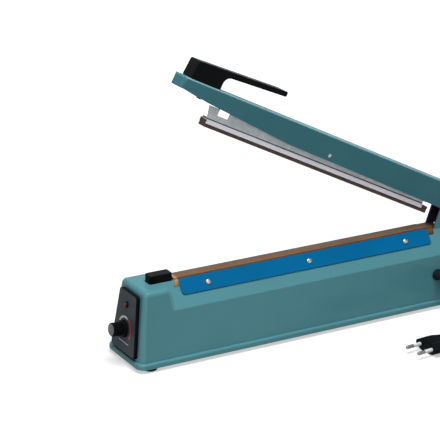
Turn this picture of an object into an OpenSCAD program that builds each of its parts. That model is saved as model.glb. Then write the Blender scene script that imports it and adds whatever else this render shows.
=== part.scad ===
// Hand impulse sealer with a 300 mm jaw, lever open.
// Millimetres, +Z up, origin on the table under the middle of the machine.
// The knob end is at -X, the hinge at +X and the mains lead leaves on the -Y side.

/* [Body shell] */
// Length of the body behind the jaw trough
rear_l = 60.6; // [56:0.2:70]
// Width of the body over its bottom rim
body_w = 75; // [73:0.5:82]
// Height of the flat top above the table
body_h = 83.5; // [81:0.5:90]
// Height of the sloping shoulders
shoulder_h = 23.5; // [20:0.5:26]
// Width of the flat land between jaw trough and shoulder
ridge_land = 2; // [1.8:0.1:4]
// Lean of the outer walls from upright
draft = 6.45; // [5.5:0.05:7]
// Thickness of the shell's sheet
sheet = 1.5; // [1.2:0.1:1.7]
// Height of the bottom rim
rim_h = 6; // [5:0.5:8]
// Ledge between the rim's edge and the foot of the walls
rim_ledge = 3; // [2.6:0.1:3.6]
// Corner radius of the rim in plan
rim_r = 9; // [8:0.5:12]
// Rounding of the rim's upper edge
rim_edge_r = 2.4; // [1:0.1:2.5]
// Rounding of the front block's top edges
block_edge_r = 5.5; // [3:0.5:7]
// Distance from the rim's front to the end of the front block's flat top
block_l = 41.6; // [36:0.2:46]
// Lean of the front block's back wall from upright
block_rake = 17.1; // [12:0.1:22]

/* [Base] */
// Height of the rubber feet
foot_h = 4; // [3:0.5:8]
// Diameter of the rubber feet
foot_d = 16; // [13:0.5:17]
// Distance of the feet from the ends of the rim
foot_inset = 17; // [16:0.5:24]
// Distance of the feet from the sides of the rim
foot_edge = 10; // [9:0.5:14]
// Thickness of the base plate
base_t = 1.2; // [1:0.1:2]

/* [Control panel] */
// Distance of the panel's lower corners from the sides of the rim
panel_side = 11.8; // [11.5:0.1:16]
// Inset of the panel's upper corners from its lower ones
panel_taper = 7.3; // [6:0.1:10]
// Distance of the panel's upper edge below the body's top
panel_drop = 6.4; // [6:0.1:10]
// Thickness of the panel plate
panel_t = 4; // [2.5:0.1:5]
// Gap between the rim's top and the panel plate
panel_rise = 2.2; // [1.5:0.1:4]
// Corner radius of the panel plate
panel_r = 3.5; // [2:0.5:6]
// Thickness of the printed film on the panel
film_t = 0.3; // [0.2:0.05:0.5]
// Height of the knob's axis as a share of the panel's height
knob_share = 0.3875; // [0.34:0.0025:0.45]
// Diameter of the knob's grip
knob_d = 14.5; // [13:0.5:17]
// Diameter of the knob's skirt
knob_skirt_d = 18.5; // [17.5:0.5:22]
// Length of the knob in front of the panel
knob_l = 16; // [14:0.5:20]
// Number of flutes on the knob
knob_flutes = 18; // [12:1:24]
// Height of the lamp as a share of the panel's height
lamp_share = 0.79; // [0.76:0.01:0.86]
// Diameter of the lamp's lens
lamp_d = 4; // [3:0.5:6]

/* [Switch button] */
// Distance of the button's front end from the rim's front
button_x = 28.3; // [26:0.1:28.5]
// Length of the button
button_l = 26; // [22:0.5:26]
// Width of the button
button_w = 12.4; // [9:0.2:12.4]
// Height of the button above the body's top
button_up = 8.5; // [6:0.5:10]
// Travel of the button
button_travel = 3; // [2:0.5:4]

/* [Sealing jaw] */
// Distance of the jaw trough from the rim's front
jaw_x = 56.4; // [56.3:0.1:58]
// Length of the jaw trough
jaw_l = 323; // [223:10:423]
// Width of the jaw bar
jaw_w = 12.2; // [10:0.1:12.6]
// Depth of the jaw trough below the body's top
jaw_depth = 8.5; // [6:0.5:9.5]
// Height of the sealing face above the body's top
jaw_up = 2.2; // [1.8:0.1:4]
// Thickness of the release cloth
cloth_t = 0.3; // [0.2:0.05:0.5]
// Length of cloth lying on each shoulder
cloth_skirt = 6.6; // [5:0.2:6.6]
// Width of the heating strip
element_w = 3; // [2:0.5:5]
// Thickness of the heating strip
element_t = 0.3; // [0.2:0.05:0.5]
// Thickness of the insulating strip under the heating strip
backing_t = 0.5; // [0.3:0.1:0.8]
// Width of the clamp plates down the shoulder
clamp_w = 17; // [14:0.5:20]
// Height by which the clamp plates stand over the ridge, along the shoulder
clamp_rise = 1.2; // [0:0.2:1.6]
// Thickness of the clamp plates
clamp_t = 1; // [0.8:0.1:1.5]
// Distance from the front of the trough to the clamp plates
clamp_fore = 2.8; // [2:0.2:10]
// Distance from the clamp plates to the rear of the trough
clamp_aft = 9; // [4:0.2:12]
// Distance between the clamp screws as a share of the plates' length
clamp_share = 0.3965; // [0.3:0.0005:0.44]

/* [Lever] */
// Distance of the hinge pin behind the jaw trough
hinge_back = 23.6; // [22:0.1:30]
// Height of the hinge pin above the sealing face
hinge_up = 23.8; // [22:0.1:26]
// Diameter of the hinge pin
hinge_d = 6; // [5:0.5:8]
// Angle of the open lever above the jaw
open_angle = 26.9; // [20:0.1:35]
// Last part of the lever's swing, in which the pressure bar sinks into it
press_angle = 3.1; // [2:0.05:3.1]
// Width of the lever
lever_w = 21; // [20.6:0.1:24]
// Thickness of the lever's sheet
lever_t = 1.2; // [1:0.1:1.2]
// Height of the lever's top above the sealing face
lever_up = 42.8; // [41:0.1:46]
// Distance of the lever's nose from the rim's front
nose_x = 13.2; // [8:0.2:16]
// Depth of the lever at its nose
nose_depth = 12.6; // [10:0.1:13.5]
// Depth of the lever behind the handle block
throat_depth = 16.8; // [15:0.1:17.5]
// Length over which the lever deepens behind the handle block
knee_l = 112; // [80:1:140]
// Depth of the lever where its underside flattens out
knee_depth = 25.4; // [24:0.1:27]
// Depth of the lever at the hinge
tail_depth = 29.3; // [27:0.1:30]
// Corner radius of the nose in plan
nose_r = 5; // [3:0.5:8]
// Rounding of the lever's top edges
lever_edge_r = 2.6; // [2:0.1:4]
// Length of the lever behind the hinge pin
tail_l = 12.4; // [12.4:0.1:14]

/* [Handle] */
// Distance of the handle's front from the rim's front
handle_x = 22.4; // [20:0.2:28]
// Length of the handle
handle_l = 116.4; // [95:0.2:130]
// Width of the handle
handle_w = 19; // [15:0.5:20]
// Height of the handle at its front
handle_h = 19.2; // [17:0.2:24]
// Rise of the handle's top from front to rear
handle_rise = 5; // [2:0.5:8]
// Backward lean of the handle's front face over its height
handle_lean = 1.5; // [0:0.5:4]
// Length of the handle's foot
handle_foot = 38; // [33:0.5:42]
// Thickness of the grip at its free end
grip_t = 5.6; // [4:0.2:8]
// Thickness of the grip above the finger gap's front
grip_root_t = 7; // [6:0.2:9]
// Radius of the finger gap's front
gap_r = 7.5; // [5:0.5:10]

/* [Pressure bar] */
// Distance from the front of the trough to the pressure bar
bar_fore = 5.7; // [4:0.1:10]
// Distance from the pressure bar to the rear of the trough
bar_aft = 12.1; // [11:0.1:18]
// Width of the pressure bar
bar_w = 14; // [12:0.2:15]
// Height of the pressure bar
bar_h = 4.6; // [4:0.1:5]
// Height of the rubber below the pressure bar
rubber_h = 3.9; // [3.6:0.1:4.2]
// Width of the rubber's sealing lip
rubber_w = 11.4; // [8:0.2:13]
// Length of rubber standing out behind the pressure bar
rubber_tail = 9; // [3:0.5:9.5]
// Thickness of the hanger's flange
flange_t = 1.5; // [1.2:0.1:2.2]
// Thickness of the hanger's web
web_t = 1.5; // [1:0.1:2]
// Distance from the hanger's pivot to the rear of the trough
hanger_aft = 8.4; // [7:0.1:10]
// Height of the hanger's pivot above the sealing face
hanger_up = 18.3; // [18:0.1:19]
// Diameter of the hanger's pivot pin
hanger_pin_d = 4; // [3:0.5:5]
// Place of the pressure spring as a share of the bar's length
spring_share = 0.518; // [0.45:0.001:0.6]
// Mean diameter of the pressure spring
spring_d = 7; // [5.5:0.5:7]
// Number of curls of the pressure spring
spring_curls = 6; // [4:1:8]

/* [Mains lead] */
// Diameter of the lead
cord_d = 6; // [5.6:0.1:6.2]
// Distance from the cable gland to the rear of the trough
gland_aft = 7.9; // [4:0.1:12]
// Height of the cable gland above the table
gland_z = 38.5; // [36:0.5:42]
// Diameter of the gland's collar
gland_d = 12.6; // [11.5:0.1:14]
// Length of the gland's tapered sleeve
gland_l = 30; // [24:1:36]
// Turns of the coil on the table, lower layer
coil_turns = 2; // [2:1:2]
// Mean radius of the coil
coil_r = 33; // [32:0.5:34]
// Distance from turn to turn
coil_step = 6.6; // [6.5:0.1:7]
// Length of the plug's pins
pin_l = 19; // [18:0.5:20]
// Distance between the plug's pins
pin_pitch = 18.6; // [17:0.1:20]

/* [Hidden] */

$fn = 48;
hull_fn = 32;
fit = 0.05;
seat_gap = 0.3;
cut = 1;

teal = [0.33, 0.54, 0.57];
clamp_blue = [0.0, 0.41, 0.65];
cloth_brown = [0.58, 0.36, 0.22];
plastic_black = [0.05, 0.05, 0.06];
bright_steel = [0.78, 0.78, 0.8];
zinc_grey = [0.6, 0.62, 0.64];
alloy = [0.74, 0.73, 0.77];
rubber_brown = [0.24, 0.16, 0.14];
spring_steel = [0.4, 0.4, 0.42];
brass = [0.75, 0.6, 0.3];

// Lengths along the machine, all taken from the jaw trough
jaw_end = jaw_x + jaw_l;
body_l = jaw_end + rear_l;
clamp_x = jaw_x + clamp_fore;
clamp_l = jaw_l - clamp_fore - clamp_aft;
clamp_pitch = clamp_share * clamp_l;
hinge_x = jaw_end + hinge_back;
bar_x = jaw_x + bar_fore;
bar_l = jaw_l - bar_fore - bar_aft;
hanger_x = jaw_end - hanger_aft;
spring_x = bar_x + spring_share * bar_l;
gland_x = jaw_end - gland_aft;

// Heights and half widths of the body's edges
rim_top = foot_h + rim_h;
base_top = foot_h + base_t;
lean = tan(draft);
shoulder_z = body_h - shoulder_h;
shoulder_y = side_y(shoulder_z);
trough_half = jaw_w / 2 + 0.2;
ridge_y = trough_half + ridge_land;
slope_angle = atan2(shoulder_h, shoulder_y - ridge_y);
foot_side = body_w / 2 - foot_edge;
wall_r = 8;
shoulder_edge_r = 2;
ridge_edge_r = 1.2;
form_z = rim_top - 2;
form_t = 0.1;
low_z = form_z + form_t;
rim_wall = 2;

function front_x(z) = rim_ledge + (z - rim_top) * lean;
function rear_x(z) = body_l - rim_ledge - (z - rim_top) * lean;
function side_y(z) = body_w / 2 - rim_ledge - (z - rim_top) * lean;
function block_x(z) = block_l + (body_h - z) * tan(block_rake);

// Panel: its lower edge, and how far the knob stands out in front of the rim
panel_z = rim_top + panel_rise;
panel_h = (body_h - panel_drop - panel_z) / cos(draft);
panel_bottom_w = body_w - 2 * panel_side;
panel_top_w = panel_bottom_w - 2 * panel_taper;
panel_seat = 0.05;
knob_up = knob_share * panel_h;
lamp_up = lamp_share * panel_h;
panel_front = panel_seat + panel_t + film_t;
knob_tip = panel_front + knob_l;
knob_z = panel_z + knob_up * cos(draft);
knob_front = front_x(knob_z) - knob_tip * cos(draft) - knob_d / 2 * sin(draft);
datum_x = -(body_l + knob_front) / 2;

// Jaw and what lies on it
jaw_top = body_h + jaw_up;
trough_floor = body_h - jaw_depth;
cloth_bottom = jaw_top - cloth_t;
element_z = cloth_bottom - element_t;
backing_z = element_z - backing_t;
terminal_l = 3.2;
bar_end_gap = 0.4;
jaw_bar_x = jaw_x + terminal_l + 2 * bar_end_gap;
jaw_bar_l = jaw_l - 2 * (terminal_l + 2 * bar_end_gap);
cloth_half = trough_half + 0.2;
cloth_front = button_x + button_l + 1;
cloth_rear = jaw_end + 0.5;
clamp_mid = clamp_x + clamp_l / 2;

// Lever: heights of its hinge and edges with the lever lying parallel to the jaw
hinge_z = jaw_top + hinge_up;
lever_top = jaw_top + lever_up;
lever_in = lever_w / 2 - lever_t;
tail_x = hinge_x + tail_l;
nose_flat = nose_x + 8.6;
throat_x = handle_x + 30.2;
knee_x = throat_x + knee_l;
stop_up = 2;
stop_z = hinge_z - tail_l * sin(open_angle) + stop_up * cos(open_angle) - seat_gap;

// Pressure bar: where it hangs so that it lies on the jaw with the lever right down
hanger_z = jaw_top + hanger_up;
sink_z = (hinge_x - hanger_x) * sin(press_angle) - (hinge_z - hanger_z) * (1 - cos(press_angle));
rubber_z = jaw_top + seat_gap + sink_z;
bar_z = rubber_z + rubber_h;
flange_z = bar_z + bar_h;
web_z = flange_z + flange_t;
web_tip = 3.3;
web_top = lever_top - lever_t - seat_gap - (hanger_x - bar_x + web_tip) * sin(press_angle);

// Switch tab under the lever's nose, which meets the button with the lever right down
tab_x = button_x + button_l - 8.9;
tab_t = 2;
tab_z = hinge_z + (body_h + button_up + seat_gap - hinge_z + (hinge_x - tab_x) * sin(press_angle))
  / cos(press_angle);

// Hinge bracket
ear_t = 2;
ear_out = lever_in - 0.5;
ear_in = ear_out - ear_t;
bracket_x = jaw_end + 1;
bracket_l = tail_x - bracket_x + 1;
ear_r = 9;

ear_rake = 9.1;
pin_head_t = 2;
pin_head_out = 2;
clip_t = 1;
pin_end = 1.2;
bush_wall = 1.5;

// Torsion spring: one leg stands on the bracket's base, the other lies under the lever's top
return_wire = 1.4;
return_r = hinge_d / 2 + bush_wall + return_wire / 2 + 0.8;
return_curls = 4;
return_half = 4.6;
leg_angle = 20;
return_turn = 360 * return_curls + 90 - open_angle - leg_angle;
return_rings = 8 * return_curls + 2;
leg_low = hinge_z - body_h - ear_t - 0.2;
leg_room = lever_up - hinge_up - lever_t - return_wire / 2 - seat_gap;
leg_high = (leg_room - return_r * cos(leg_angle)) / sin(leg_angle);
return_path = concat(
  [[return_r, -return_half, -leg_low]],
  [for (i = [0 : return_rings]) let (a = return_turn * i / return_rings)
    [return_r * cos(a), -return_half + 2 * return_half * i / return_rings, return_r * sin(a)]],
  [[return_r * cos(return_turn) - leg_high * sin(return_turn), return_half,
    return_r * sin(return_turn) + leg_high * cos(return_turn)]]);

// Screws, posts and rivets: heads are given as radius and height
post_r = 5;
post_h = 34;
foot_seat = 1.6;
foot_recess_r = 4.4;
foot_chamfer = 1;
base_head = [foot_recess_r - 0.4, 1.2];
base_screw_r = 2;
base_screw_l = 14;
screw_head = [3.6, 2.2];
jaw_head = [3.8, 2.4];
jaw_screw_r = 2;
jaw_screw_l = 5.5;
jaw_screw_x = [for (i = [-1 : 1]) jaw_x + jaw_l / 2 + i * jaw_l / 3];
clamp_head = [3.2, 2.2];
clamp_screw_r = 1.6;
clamp_screw_l = 6;
clamp_r = 3.5;
clamp_z = cloth_t + 0.05;
bracket_screw_r = 2;
bracket_screw_l = 5;
bracket_screw_x = [bracket_x + 9.1, bracket_x + 18.1];
handle_screw_r = 2;
handle_screw_l = 10;
handle_screw_in = 9;
handle_screw_x = [handle_x + handle_screw_in, handle_x + handle_foot - handle_screw_in];
rivet_r = 1.5;
rivet_head = 0.7;
seat_rivet_z = lever_top - 20.6;
hanger_head = [1.9, 1.4];
hanger_screw_x = [for (i = [-1.5 : 1 : 1.5]) bar_x + bar_l / 2 + i * bar_l / 4.4];
hanger_screw_y = 3;
hanger_screw_r = 1.25;
hanger_screw_l = 0.7;

// Panel's film, lamp, potentiometer and knob
film_margin = 0.8;
lamp_wall = 0.8;
lamp_back = 4;
bush_r = 3.4;
pot_gap = 0.4;
pot_back = sheet + pot_gap;
pot_r = 8.5;
pot_h = 9;
pot_bore = 5;
lug_pitch = 5;
lug = [pot_r, 1.2, 0.8];
nut_h = 2.2;
nut_r = 5.2;
bush_out = panel_front + nut_h + 0.6;
shaft_r = 3;
shaft_back = pot_back + pot_bore - 0.2;
shaft_front = knob_tip - 3;
knob_foot = panel_front + 0.5;
skirt_h = 4.2;
skirt_slope = 1.6;
cap_t = 0.8;
cap_margin = 0.9;

// Timer board and the parts on it: boxes by their three sides, cylinders by radius and height
board_x = jaw_x + 17.4;
board_l = 70;
board_half = 0.32 * body_w;
board_up = 9;
board_z = base_top + board_up;
board_t = 1.6;
board_post_r = 3;
board_post_in = 5;
relay = [20, 16, 18];
connector = [16, 10, 8];
triac = [10, 4.5, 16];
big_cap = [6, 20];
small_cap = [4, 12];

// Transformer
core_gap = 53;
core_x = board_x + board_l + core_gap;
core_l = 60;
core_half = 0.24 * body_w;
core_h = 50;
core_limb = 10;
core_window = (core_l - 4 * core_limb) / 2;
winding_out = 8;
strap_t = 1.5;
strap_half = 11;
strap_screw_r = 2;
strap_foot = 13;
strap_screw_x = [core_x - strap_t - strap_foot / 2, core_x + core_l + strap_t + strap_foot / 2];

// Button and microswitch
button_r = 2;
button_edge = 0.7;
button_flange = 1.2;
button_flange_t = 2;
flange_top = body_h - sheet - seat_gap;
stem_r = 3;
stem_x = button_x + button_l / 2;
button_wire = 0.8;
button_curls = 3;
bracket_z = body_h - 14.5;
bracket_t = 1.2;
bracket_front = stem_x - 15.5;
plate_l = 27;
leg_half = 11;
leg_l = min(13, block_l - block_edge_r - bracket_front);
switch_l = 20;
switch_half = 3.2;
switch_h = 10.4;
plunger_r = 1.5;
plunger_up = button_travel;
plunger_down = 1.8;
tag_pitch = 7;
tag = [3, 0.6, 6.5];

// Lever's fittings: spring seat, tab and handle
seat_t = 1.2;
seat_l = 16;
seat_half = lever_in - 0.1;
seat_leg = 5;
tab_half = 3.5;
tab_lap = 4;
handle_hole = 12;
grip_r = 1.8;

// Hanger's web, spring and the bar's slot for the rubber
eye_r = 4.6;
web_foot = 0.2;
flange_in = 1;
flange_half = bar_w / 2 - 1.5;
web_y = web_t / 2 - flange_half;
web_post = 33;
web_fall = 45;
window_x = bar_x + 10.2;
window_l = 14;
window_z = web_z + 5.2;
web_mid = web_z + 9.3;
spring_wire = 1.6;
spring_y = 0.7;
slot_half = bar_w / 2 - 1.1;
neck_half = slot_half - 0.6;
lip_t = 0.8;
bar_roof = 1;
slot_h = bar_h - lip_t - bar_roof;
rubber_nose = 0.3;

// Gland on the near wall
gland_neck_r = 5;
gland_collar = 2;
gland_back = 8;
gland_nut_t = 4;
gland_nut_out = 3;
gland_y = -side_y(gland_z);
gland_out = gland_l + gland_collar;
gland_tip = [gland_x, gland_y - gland_out * cos(draft), gland_z + gland_out * sin(draft)];

// Coil, in the order of its turns: spiral in below, climb half a turn, spiral out above
coil_x = gland_x + 64.5;
coil_y = gland_y - 108.7;
cord_r = cord_d / 2;
coil_sides = 6;
coil_rings = 24;
coil_out = coil_r + coil_step;
coil_in = coil_out - coil_turns * coil_step;
coil_start = 90;
tie_w = 3;
tie_t = 0.8;
tie_gap = 0.2;
tie_turn = -60;
coil_low = cord_r + tie_t + tie_gap + 0.05;
climb_turns = 0.5;
climb_dip = 1.8;
out_turns = coil_turns + 0.125;
coil_all = coil_turns + climb_turns + out_turns;

// Points of the coil: t counts turns from its start
function coil_radius(t) = t < coil_turns ? coil_out - coil_step * t
  : t < coil_turns + climb_turns ? coil_in - climb_dip * (1 - cos(720 * (t - coil_turns))) / 2
  : coil_in + coil_step * (t - coil_turns - climb_turns);
function coil_height(t) = coil_low + coil_step
  * (t < coil_turns ? 0 : t < coil_turns + climb_turns ? (1 - cos(360 * (t - coil_turns))) / 2 : 1);
function coil_point(t) = [
  coil_x + coil_radius(t) * cos(coil_start - 360 * t),
  coil_y + coil_radius(t) * sin(coil_start - 360 * t),
  coil_height(t)];
coil_end = coil_point(coil_all);
coil_end_way = [sin(coil_start - 360 * coil_all), -cos(coil_start - 360 * coil_all), 0];
coil_first = coil_point(0) - [cord_d, 0, 0];
coil_path = concat(
  [coil_first],
  [for (i = [0 : coil_all * coil_rings]) coil_point(i / coil_rings)],
  [coil_end + cord_d * coil_end_way, coil_end + 2 * cord_d * coil_end_way]);

// Plug on the table
plug_x = gland_x - 80.1;
plug_y = gland_y - 96.2;
plug_z = 6.9;
plug_yaw = 5;
plug_l = 36;
plug_half = 17.7;
plug_low = 0.1;
plug_wide_x = 15;
plug_front_half = 17.3;
plug_neck_half = 7;
plug_neck_h = 5.4;
plug_flat = 0.5;
plug_side = 0.3;
slice_t = 0.5;
boot_r = 5.2;
plug_boot_l = 22;
sleeve_l = 10;
pin_r = 2;
core_r = 1.4;
plug_end = plug_l + plug_boot_l;
tail_start = [plug_x + plug_end * cos(plug_yaw), plug_y + plug_end * sin(plug_yaw), plug_z];

// Lead from the gland's tip down to the table and round to the coil, and from the coil to the plug
function from_gland(x, y, z) = [gland_x + x, gland_y + y, z];
lead_route = [
  gland_tip, gland_tip + [0, -cord_d * cos(draft), cord_d * sin(draft)],
  from_gland(1, -45.7, 41), from_gland(3.5, -54.7, 35), from_gland(8.5, -63.7, 25.5),
  from_gland(15.5, -69.7, 16), from_gland(24.5, -72.2, 8.5), from_gland(35.5, -71.2, 4.8),
  from_gland(46, -69.7, coil_low),
  coil_first - [cord_d, 0, 0], coil_first];
tail_route = [
  coil_end + 2 * cord_d * coil_end_way, coil_end + 3 * cord_d * coil_end_way,
  from_gland(12.5, -117.7, 8.6), from_gland(5, -109.7, 6.4), from_gland(-1.5, -102.7, 5.4),
  from_gland(-8, -96.7, 5.4),
  tail_start + cord_d * [cos(plug_yaw), sin(plug_yaw), 0], tail_start];

// Least gap between points of a wound path that lie most of a turn or more apart
function least_gap(path, apart, wire) = min([
  for (i = [0 : len(path) - 1])
    for (j = [i + apart : 1 : len(path) - 1]) norm(path[i] - path[j])]) - wire;

// Tube swept along a path: directions, side vectors carried along, then rings of points
function unit(v) = v / norm(v);
function ways(p) = [
  for (i = [0 : len(p) - 1]) unit(p[min(i + 1, len(p) - 1)] - p[max(i - 1, 0)])];
function carried(v, way) = unit(v - (v * way) * way);
function sides_of(way, first) = [
  for (i = 0, v = carried(first, way[0]); i < len(way);
    i = i + 1, v = i < len(way) ? carried(v, way[i]) : v) v];
function spline(a, b, c, d, t) = 0.5 * (2 * b + (c - a) * t + (2 * a - 5 * b + 4 * c - d) * t * t
  + (3 * b - a - 3 * c + d) * t * t * t);
function smooth(p, steps) = concat(
  [for (i = [0 : len(p) - 2], k = [0 : steps - 1])
    spline(p[max(i - 1, 0)], p[i], p[i + 1], p[min(i + 2, len(p) - 1)], k / steps)],
  [p[len(p) - 1]]);
function laid(p, steps) = concat(
  [p[0]], smooth([for (i = [1 : len(p) - 2]) p[i]], steps), [p[len(p) - 1]]);

module tube(path, r, sides, first = [0, 0, 1]) {
  way = ways(path);
  side = sides_of(way, first);
  last = len(path) - 1;
  polyhedron(
    points = [for (i = [0 : last], k = [0 : sides - 1])
      path[i] + r * (cos(360 * k / sides) * side[i] + sin(360 * k / sides) * cross(way[i], side[i]))],
    faces = concat(
      [for (i = [0 : last - 1], k = [0 : sides - 1])
        [i * sides + k, (i + 1) * sides + k, (i + 1) * sides + (k + 1) % sides]],
      [for (i = [0 : last - 1], k = [0 : sides - 1])
        [i * sides + k, (i + 1) * sides + (k + 1) % sides, i * sides + (k + 1) % sides]],
      [for (k = [1 : sides - 2]) [0, k, k + 1]],
      [for (k = [1 : sides - 2]) [last * sides, last * sides + k + 1, last * sides + k]]));
}

// Frames and shared shapes
module placed() { translate([datum_x, 0, 0]) children(); }

module on_panel(up) {
  translate([front_x(panel_z), 0, panel_z]) rotate([0, draft, 0]) translate([0, 0, up]) children();
}

module outward() { rotate([0, -90, 0]) children(); }

module on_shoulder(side) {
  mirror([0, side < 0 ? 1 : 0, 0]) translate([0, ridge_y, body_h]) rotate([-slope_angle, 0, 0]) children();
}

module lever_open() {
  translate([hinge_x, 0, hinge_z]) rotate([0, open_angle, 0]) translate([-hinge_x, 0, -hinge_z])
    children();
}

module across(x, z, r, l) {
  translate([x, 0, z]) rotate([90, 0, 0]) cylinder(r = r, h = l, center = true);
}

module upright(x, z, r, h) { translate([x, 0, z]) cylinder(r = r, h = h); }

module side_cut(w) { translate([0, w / 2, 0]) rotate([90, 0, 0]) linear_extrude(w) children(); }

module along(x, l) { translate([x, 0, 0]) rotate([90, 0, 90]) linear_extrude(l) children(); }

module box(x, half, z, l, h) { translate([x, -half, z]) cube([l, 2 * half, h]); }

module rounded(l, w, r) {
  translate([r, -w / 2]) square([l - 2 * r, w]);
  translate([0, r - w / 2]) square([l, w - 2 * r]);
  for (x = [r, l - r], y = [r - w / 2, w / 2 - r]) translate([x, y]) circle(r);
}

module at_feet() {
  for (x = [foot_inset, body_l - foot_inset], y = [-foot_side, foot_side])
    translate([x, y, 0]) children();
}

module at_clamp_screws() {
  for (i = [-1 : 1]) translate([clamp_mid + i * clamp_pitch, clamp_w / 2, 0]) children();
}

// Pan-head screw: the head stands on z = 0 and the shank runs down
module pan_screw(head, shank_r, shank_l) {
  head_r = head[0];
  head_h = head[1];
  difference() {
    union() {
      cylinder(r = head_r, h = head_h * 0.6);
      cylinder(r = head_r * 0.8, h = head_h);
      translate([0, 0, -shank_l]) cylinder(r = shank_r, h = shank_l + head_h / 2);
    }
    for (a = [0, 90]) rotate([0, 0, a])
      translate([-head_r / 2, -head_r / 8, head_h * 0.5]) cube([head_r, head_r / 4, head_h]);
  }
}

// Outer and inner forms of the body
module block_form(inset) {
  low_r = wall_r - inset;
  top_r = block_edge_r - min(inset, block_edge_r - 1);
  top_z = body_h - inset - top_r;
  o = (inset + top_r) / cos(draft);
  hull() for (s = [-1, 1]) {
    for (x = [front_x(low_z) + inset + low_r, block_x(low_z) - inset - low_r])
      translate([x, s * (side_y(low_z) - inset - low_r), form_z])
        cylinder(r = low_r, h = form_t, $fn = hull_fn);
    translate([front_x(top_z) + o, s * (side_y(top_z) - o), top_z]) sphere(top_r, $fn = hull_fn);
    translate([block_x(top_z) - (inset + top_r) / cos(block_rake), s * (side_y(top_z) - o), top_z])
      sphere(top_r, $fn = hull_fn);
  }
}

module gable_form(inset) {
  low_r = wall_r - inset;
  shoulder_in = inset + shoulder_edge_r;
  mid_z = shoulder_z
    + shoulder_in * (1 / cos(draft) - 1 / sin(slope_angle)) / (1 / tan(slope_angle) - lean);
  top_z = body_h - inset - ridge_edge_r;
  top_y = shoulder_y - (top_z - shoulder_z) / tan(slope_angle)
    - (inset + ridge_edge_r) / sin(slope_angle);
  hull() for (s = [-1, 1]) {
    for (x = [block_l, rear_x(low_z) - inset - low_r])
      translate([x, s * (side_y(low_z) - inset - low_r), form_z])
        cylinder(r = low_r, h = form_t, $fn = hull_fn);
    for (x = [block_l - block_edge_r, rear_x(mid_z) - shoulder_in / cos(draft)])
      translate([x, s * (side_y(mid_z) - shoulder_in / cos(draft)), mid_z])
        sphere(shoulder_edge_r, $fn = hull_fn);
    for (x = [block_l - block_edge_r, rear_x(top_z) - (inset + ridge_edge_r) / cos(draft)])
      translate([x, s * top_y, top_z]) sphere(ridge_edge_r, $fn = hull_fn);
  }
}

module rim_form() {
  hull() for (x = [rim_r, body_l - rim_r], y = [rim_r - body_w / 2, body_w / 2 - rim_r])
    translate([x, y, foot_h]) {
      cylinder(r = rim_r, h = rim_h - rim_edge_r, $fn = hull_fn);
      translate([0, 0, rim_h - rim_edge_r]) rotate_extrude($fn = hull_fn)
        translate([rim_r - rim_edge_r, 0]) intersection() {
          circle(rim_edge_r, $fn = 16);
          square(rim_edge_r);
        }
      cylinder(r = rim_r - rim_edge_r, h = rim_h, $fn = hull_fn);
    }
}

module body_shell() {
  color(teal) placed() difference() {
    union() {
      difference() {
        union() {
          rim_form();
          block_form(0);
          gable_form(0);
        }
        block_form(sheet);
        gable_form(sheet);
        translate([rim_wall, 0, foot_h - cut]) linear_extrude(rim_h + cut - sheet)
          rounded(body_l - 2 * rim_wall, body_w - 2 * rim_wall, rim_r - rim_wall);
      }
      box(jaw_x - sheet, trough_half + sheet, trough_floor - sheet,
        jaw_l + 2 * sheet, jaw_depth + sheet / 2);
      intersection() {
        translate([0, 0, base_top]) at_feet() cylinder(r = post_r, h = post_h);
        union() {
          block_form(sheet / 2);
          gable_form(sheet / 2);
          box(rim_wall, body_w / 2 - rim_wall, foot_h, body_l - 2 * rim_wall, rim_h - cut);
        }
      }
    }
    box(jaw_x, trough_half, trough_floor, jaw_l, jaw_depth + cut);
    for (x = jaw_screw_x)
      upright(x, trough_floor - sheet - cut, jaw_screw_r + fit, sheet + 2 * cut);
    translate([button_x - seat_gap, 0, body_h - jaw_depth]) linear_extrude(jaw_depth + cut)
      rounded(button_l + 2 * seat_gap, button_w + 2 * seat_gap, button_r);
    on_panel(knob_up) outward() cylinder(r = bush_r + fit, h = 4 * sheet, center = true);
    on_panel(lamp_up) outward()
      cylinder(r = lamp_d / 2 + lamp_wall + fit, h = 4 * sheet, center = true);
    on_gland() cylinder(r = gland_neck_r + fit, h = 4 * sheet, center = true);
    for (s = [-1, 1]) on_shoulder(s) at_clamp_screws()
      cylinder(r = clamp_screw_r + fit, h = 4 * sheet, center = true);
    for (x = bracket_screw_x) upright(x, body_h - 2 * sheet, bracket_screw_r + fit, 3 * sheet);
    translate([0, 0, base_top - cut]) at_feet() cylinder(r = base_screw_r + fit, h = base_screw_l + cut);
  }
}

// Base: plate inside the rim, feet below it and the screws that hold both
module base_plate() {
  margin = rim_wall + seat_gap;
  color(zinc_grey) placed() difference() {
    translate([margin, 0, foot_h])
      linear_extrude(base_t) rounded(body_l - 2 * margin, body_w - 2 * margin, rim_r - margin);
    translate([0, 0, foot_h - cut]) at_feet() cylinder(r = base_screw_r + fit, h = base_t + 2 * cut);
    for (x = strap_screw_x) upright(x, foot_h - cut, strap_screw_r + fit, base_t + 2 * cut);
  }
}

module rubber_feet() {
  color(plastic_black) placed() at_feet() difference() {
    union() {
      cylinder(r1 = foot_d / 2 - foot_chamfer, r2 = foot_d / 2, h = foot_chamfer);
      translate([0, 0, foot_chamfer]) cylinder(r = foot_d / 2, h = foot_h - foot_chamfer);
    }
    translate([0, 0, -cut]) cylinder(r = foot_recess_r, h = foot_h - foot_seat + cut);
    translate([0, 0, -cut]) cylinder(r = base_screw_r + fit, h = foot_h + 2 * cut);
  }
}

module base_screws() {
  color(bright_steel) placed() at_feet() translate([0, 0, foot_h - foot_seat])
    mirror([0, 0, 1]) pan_screw(base_head, base_screw_r, base_screw_l + foot_seat);
}

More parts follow.
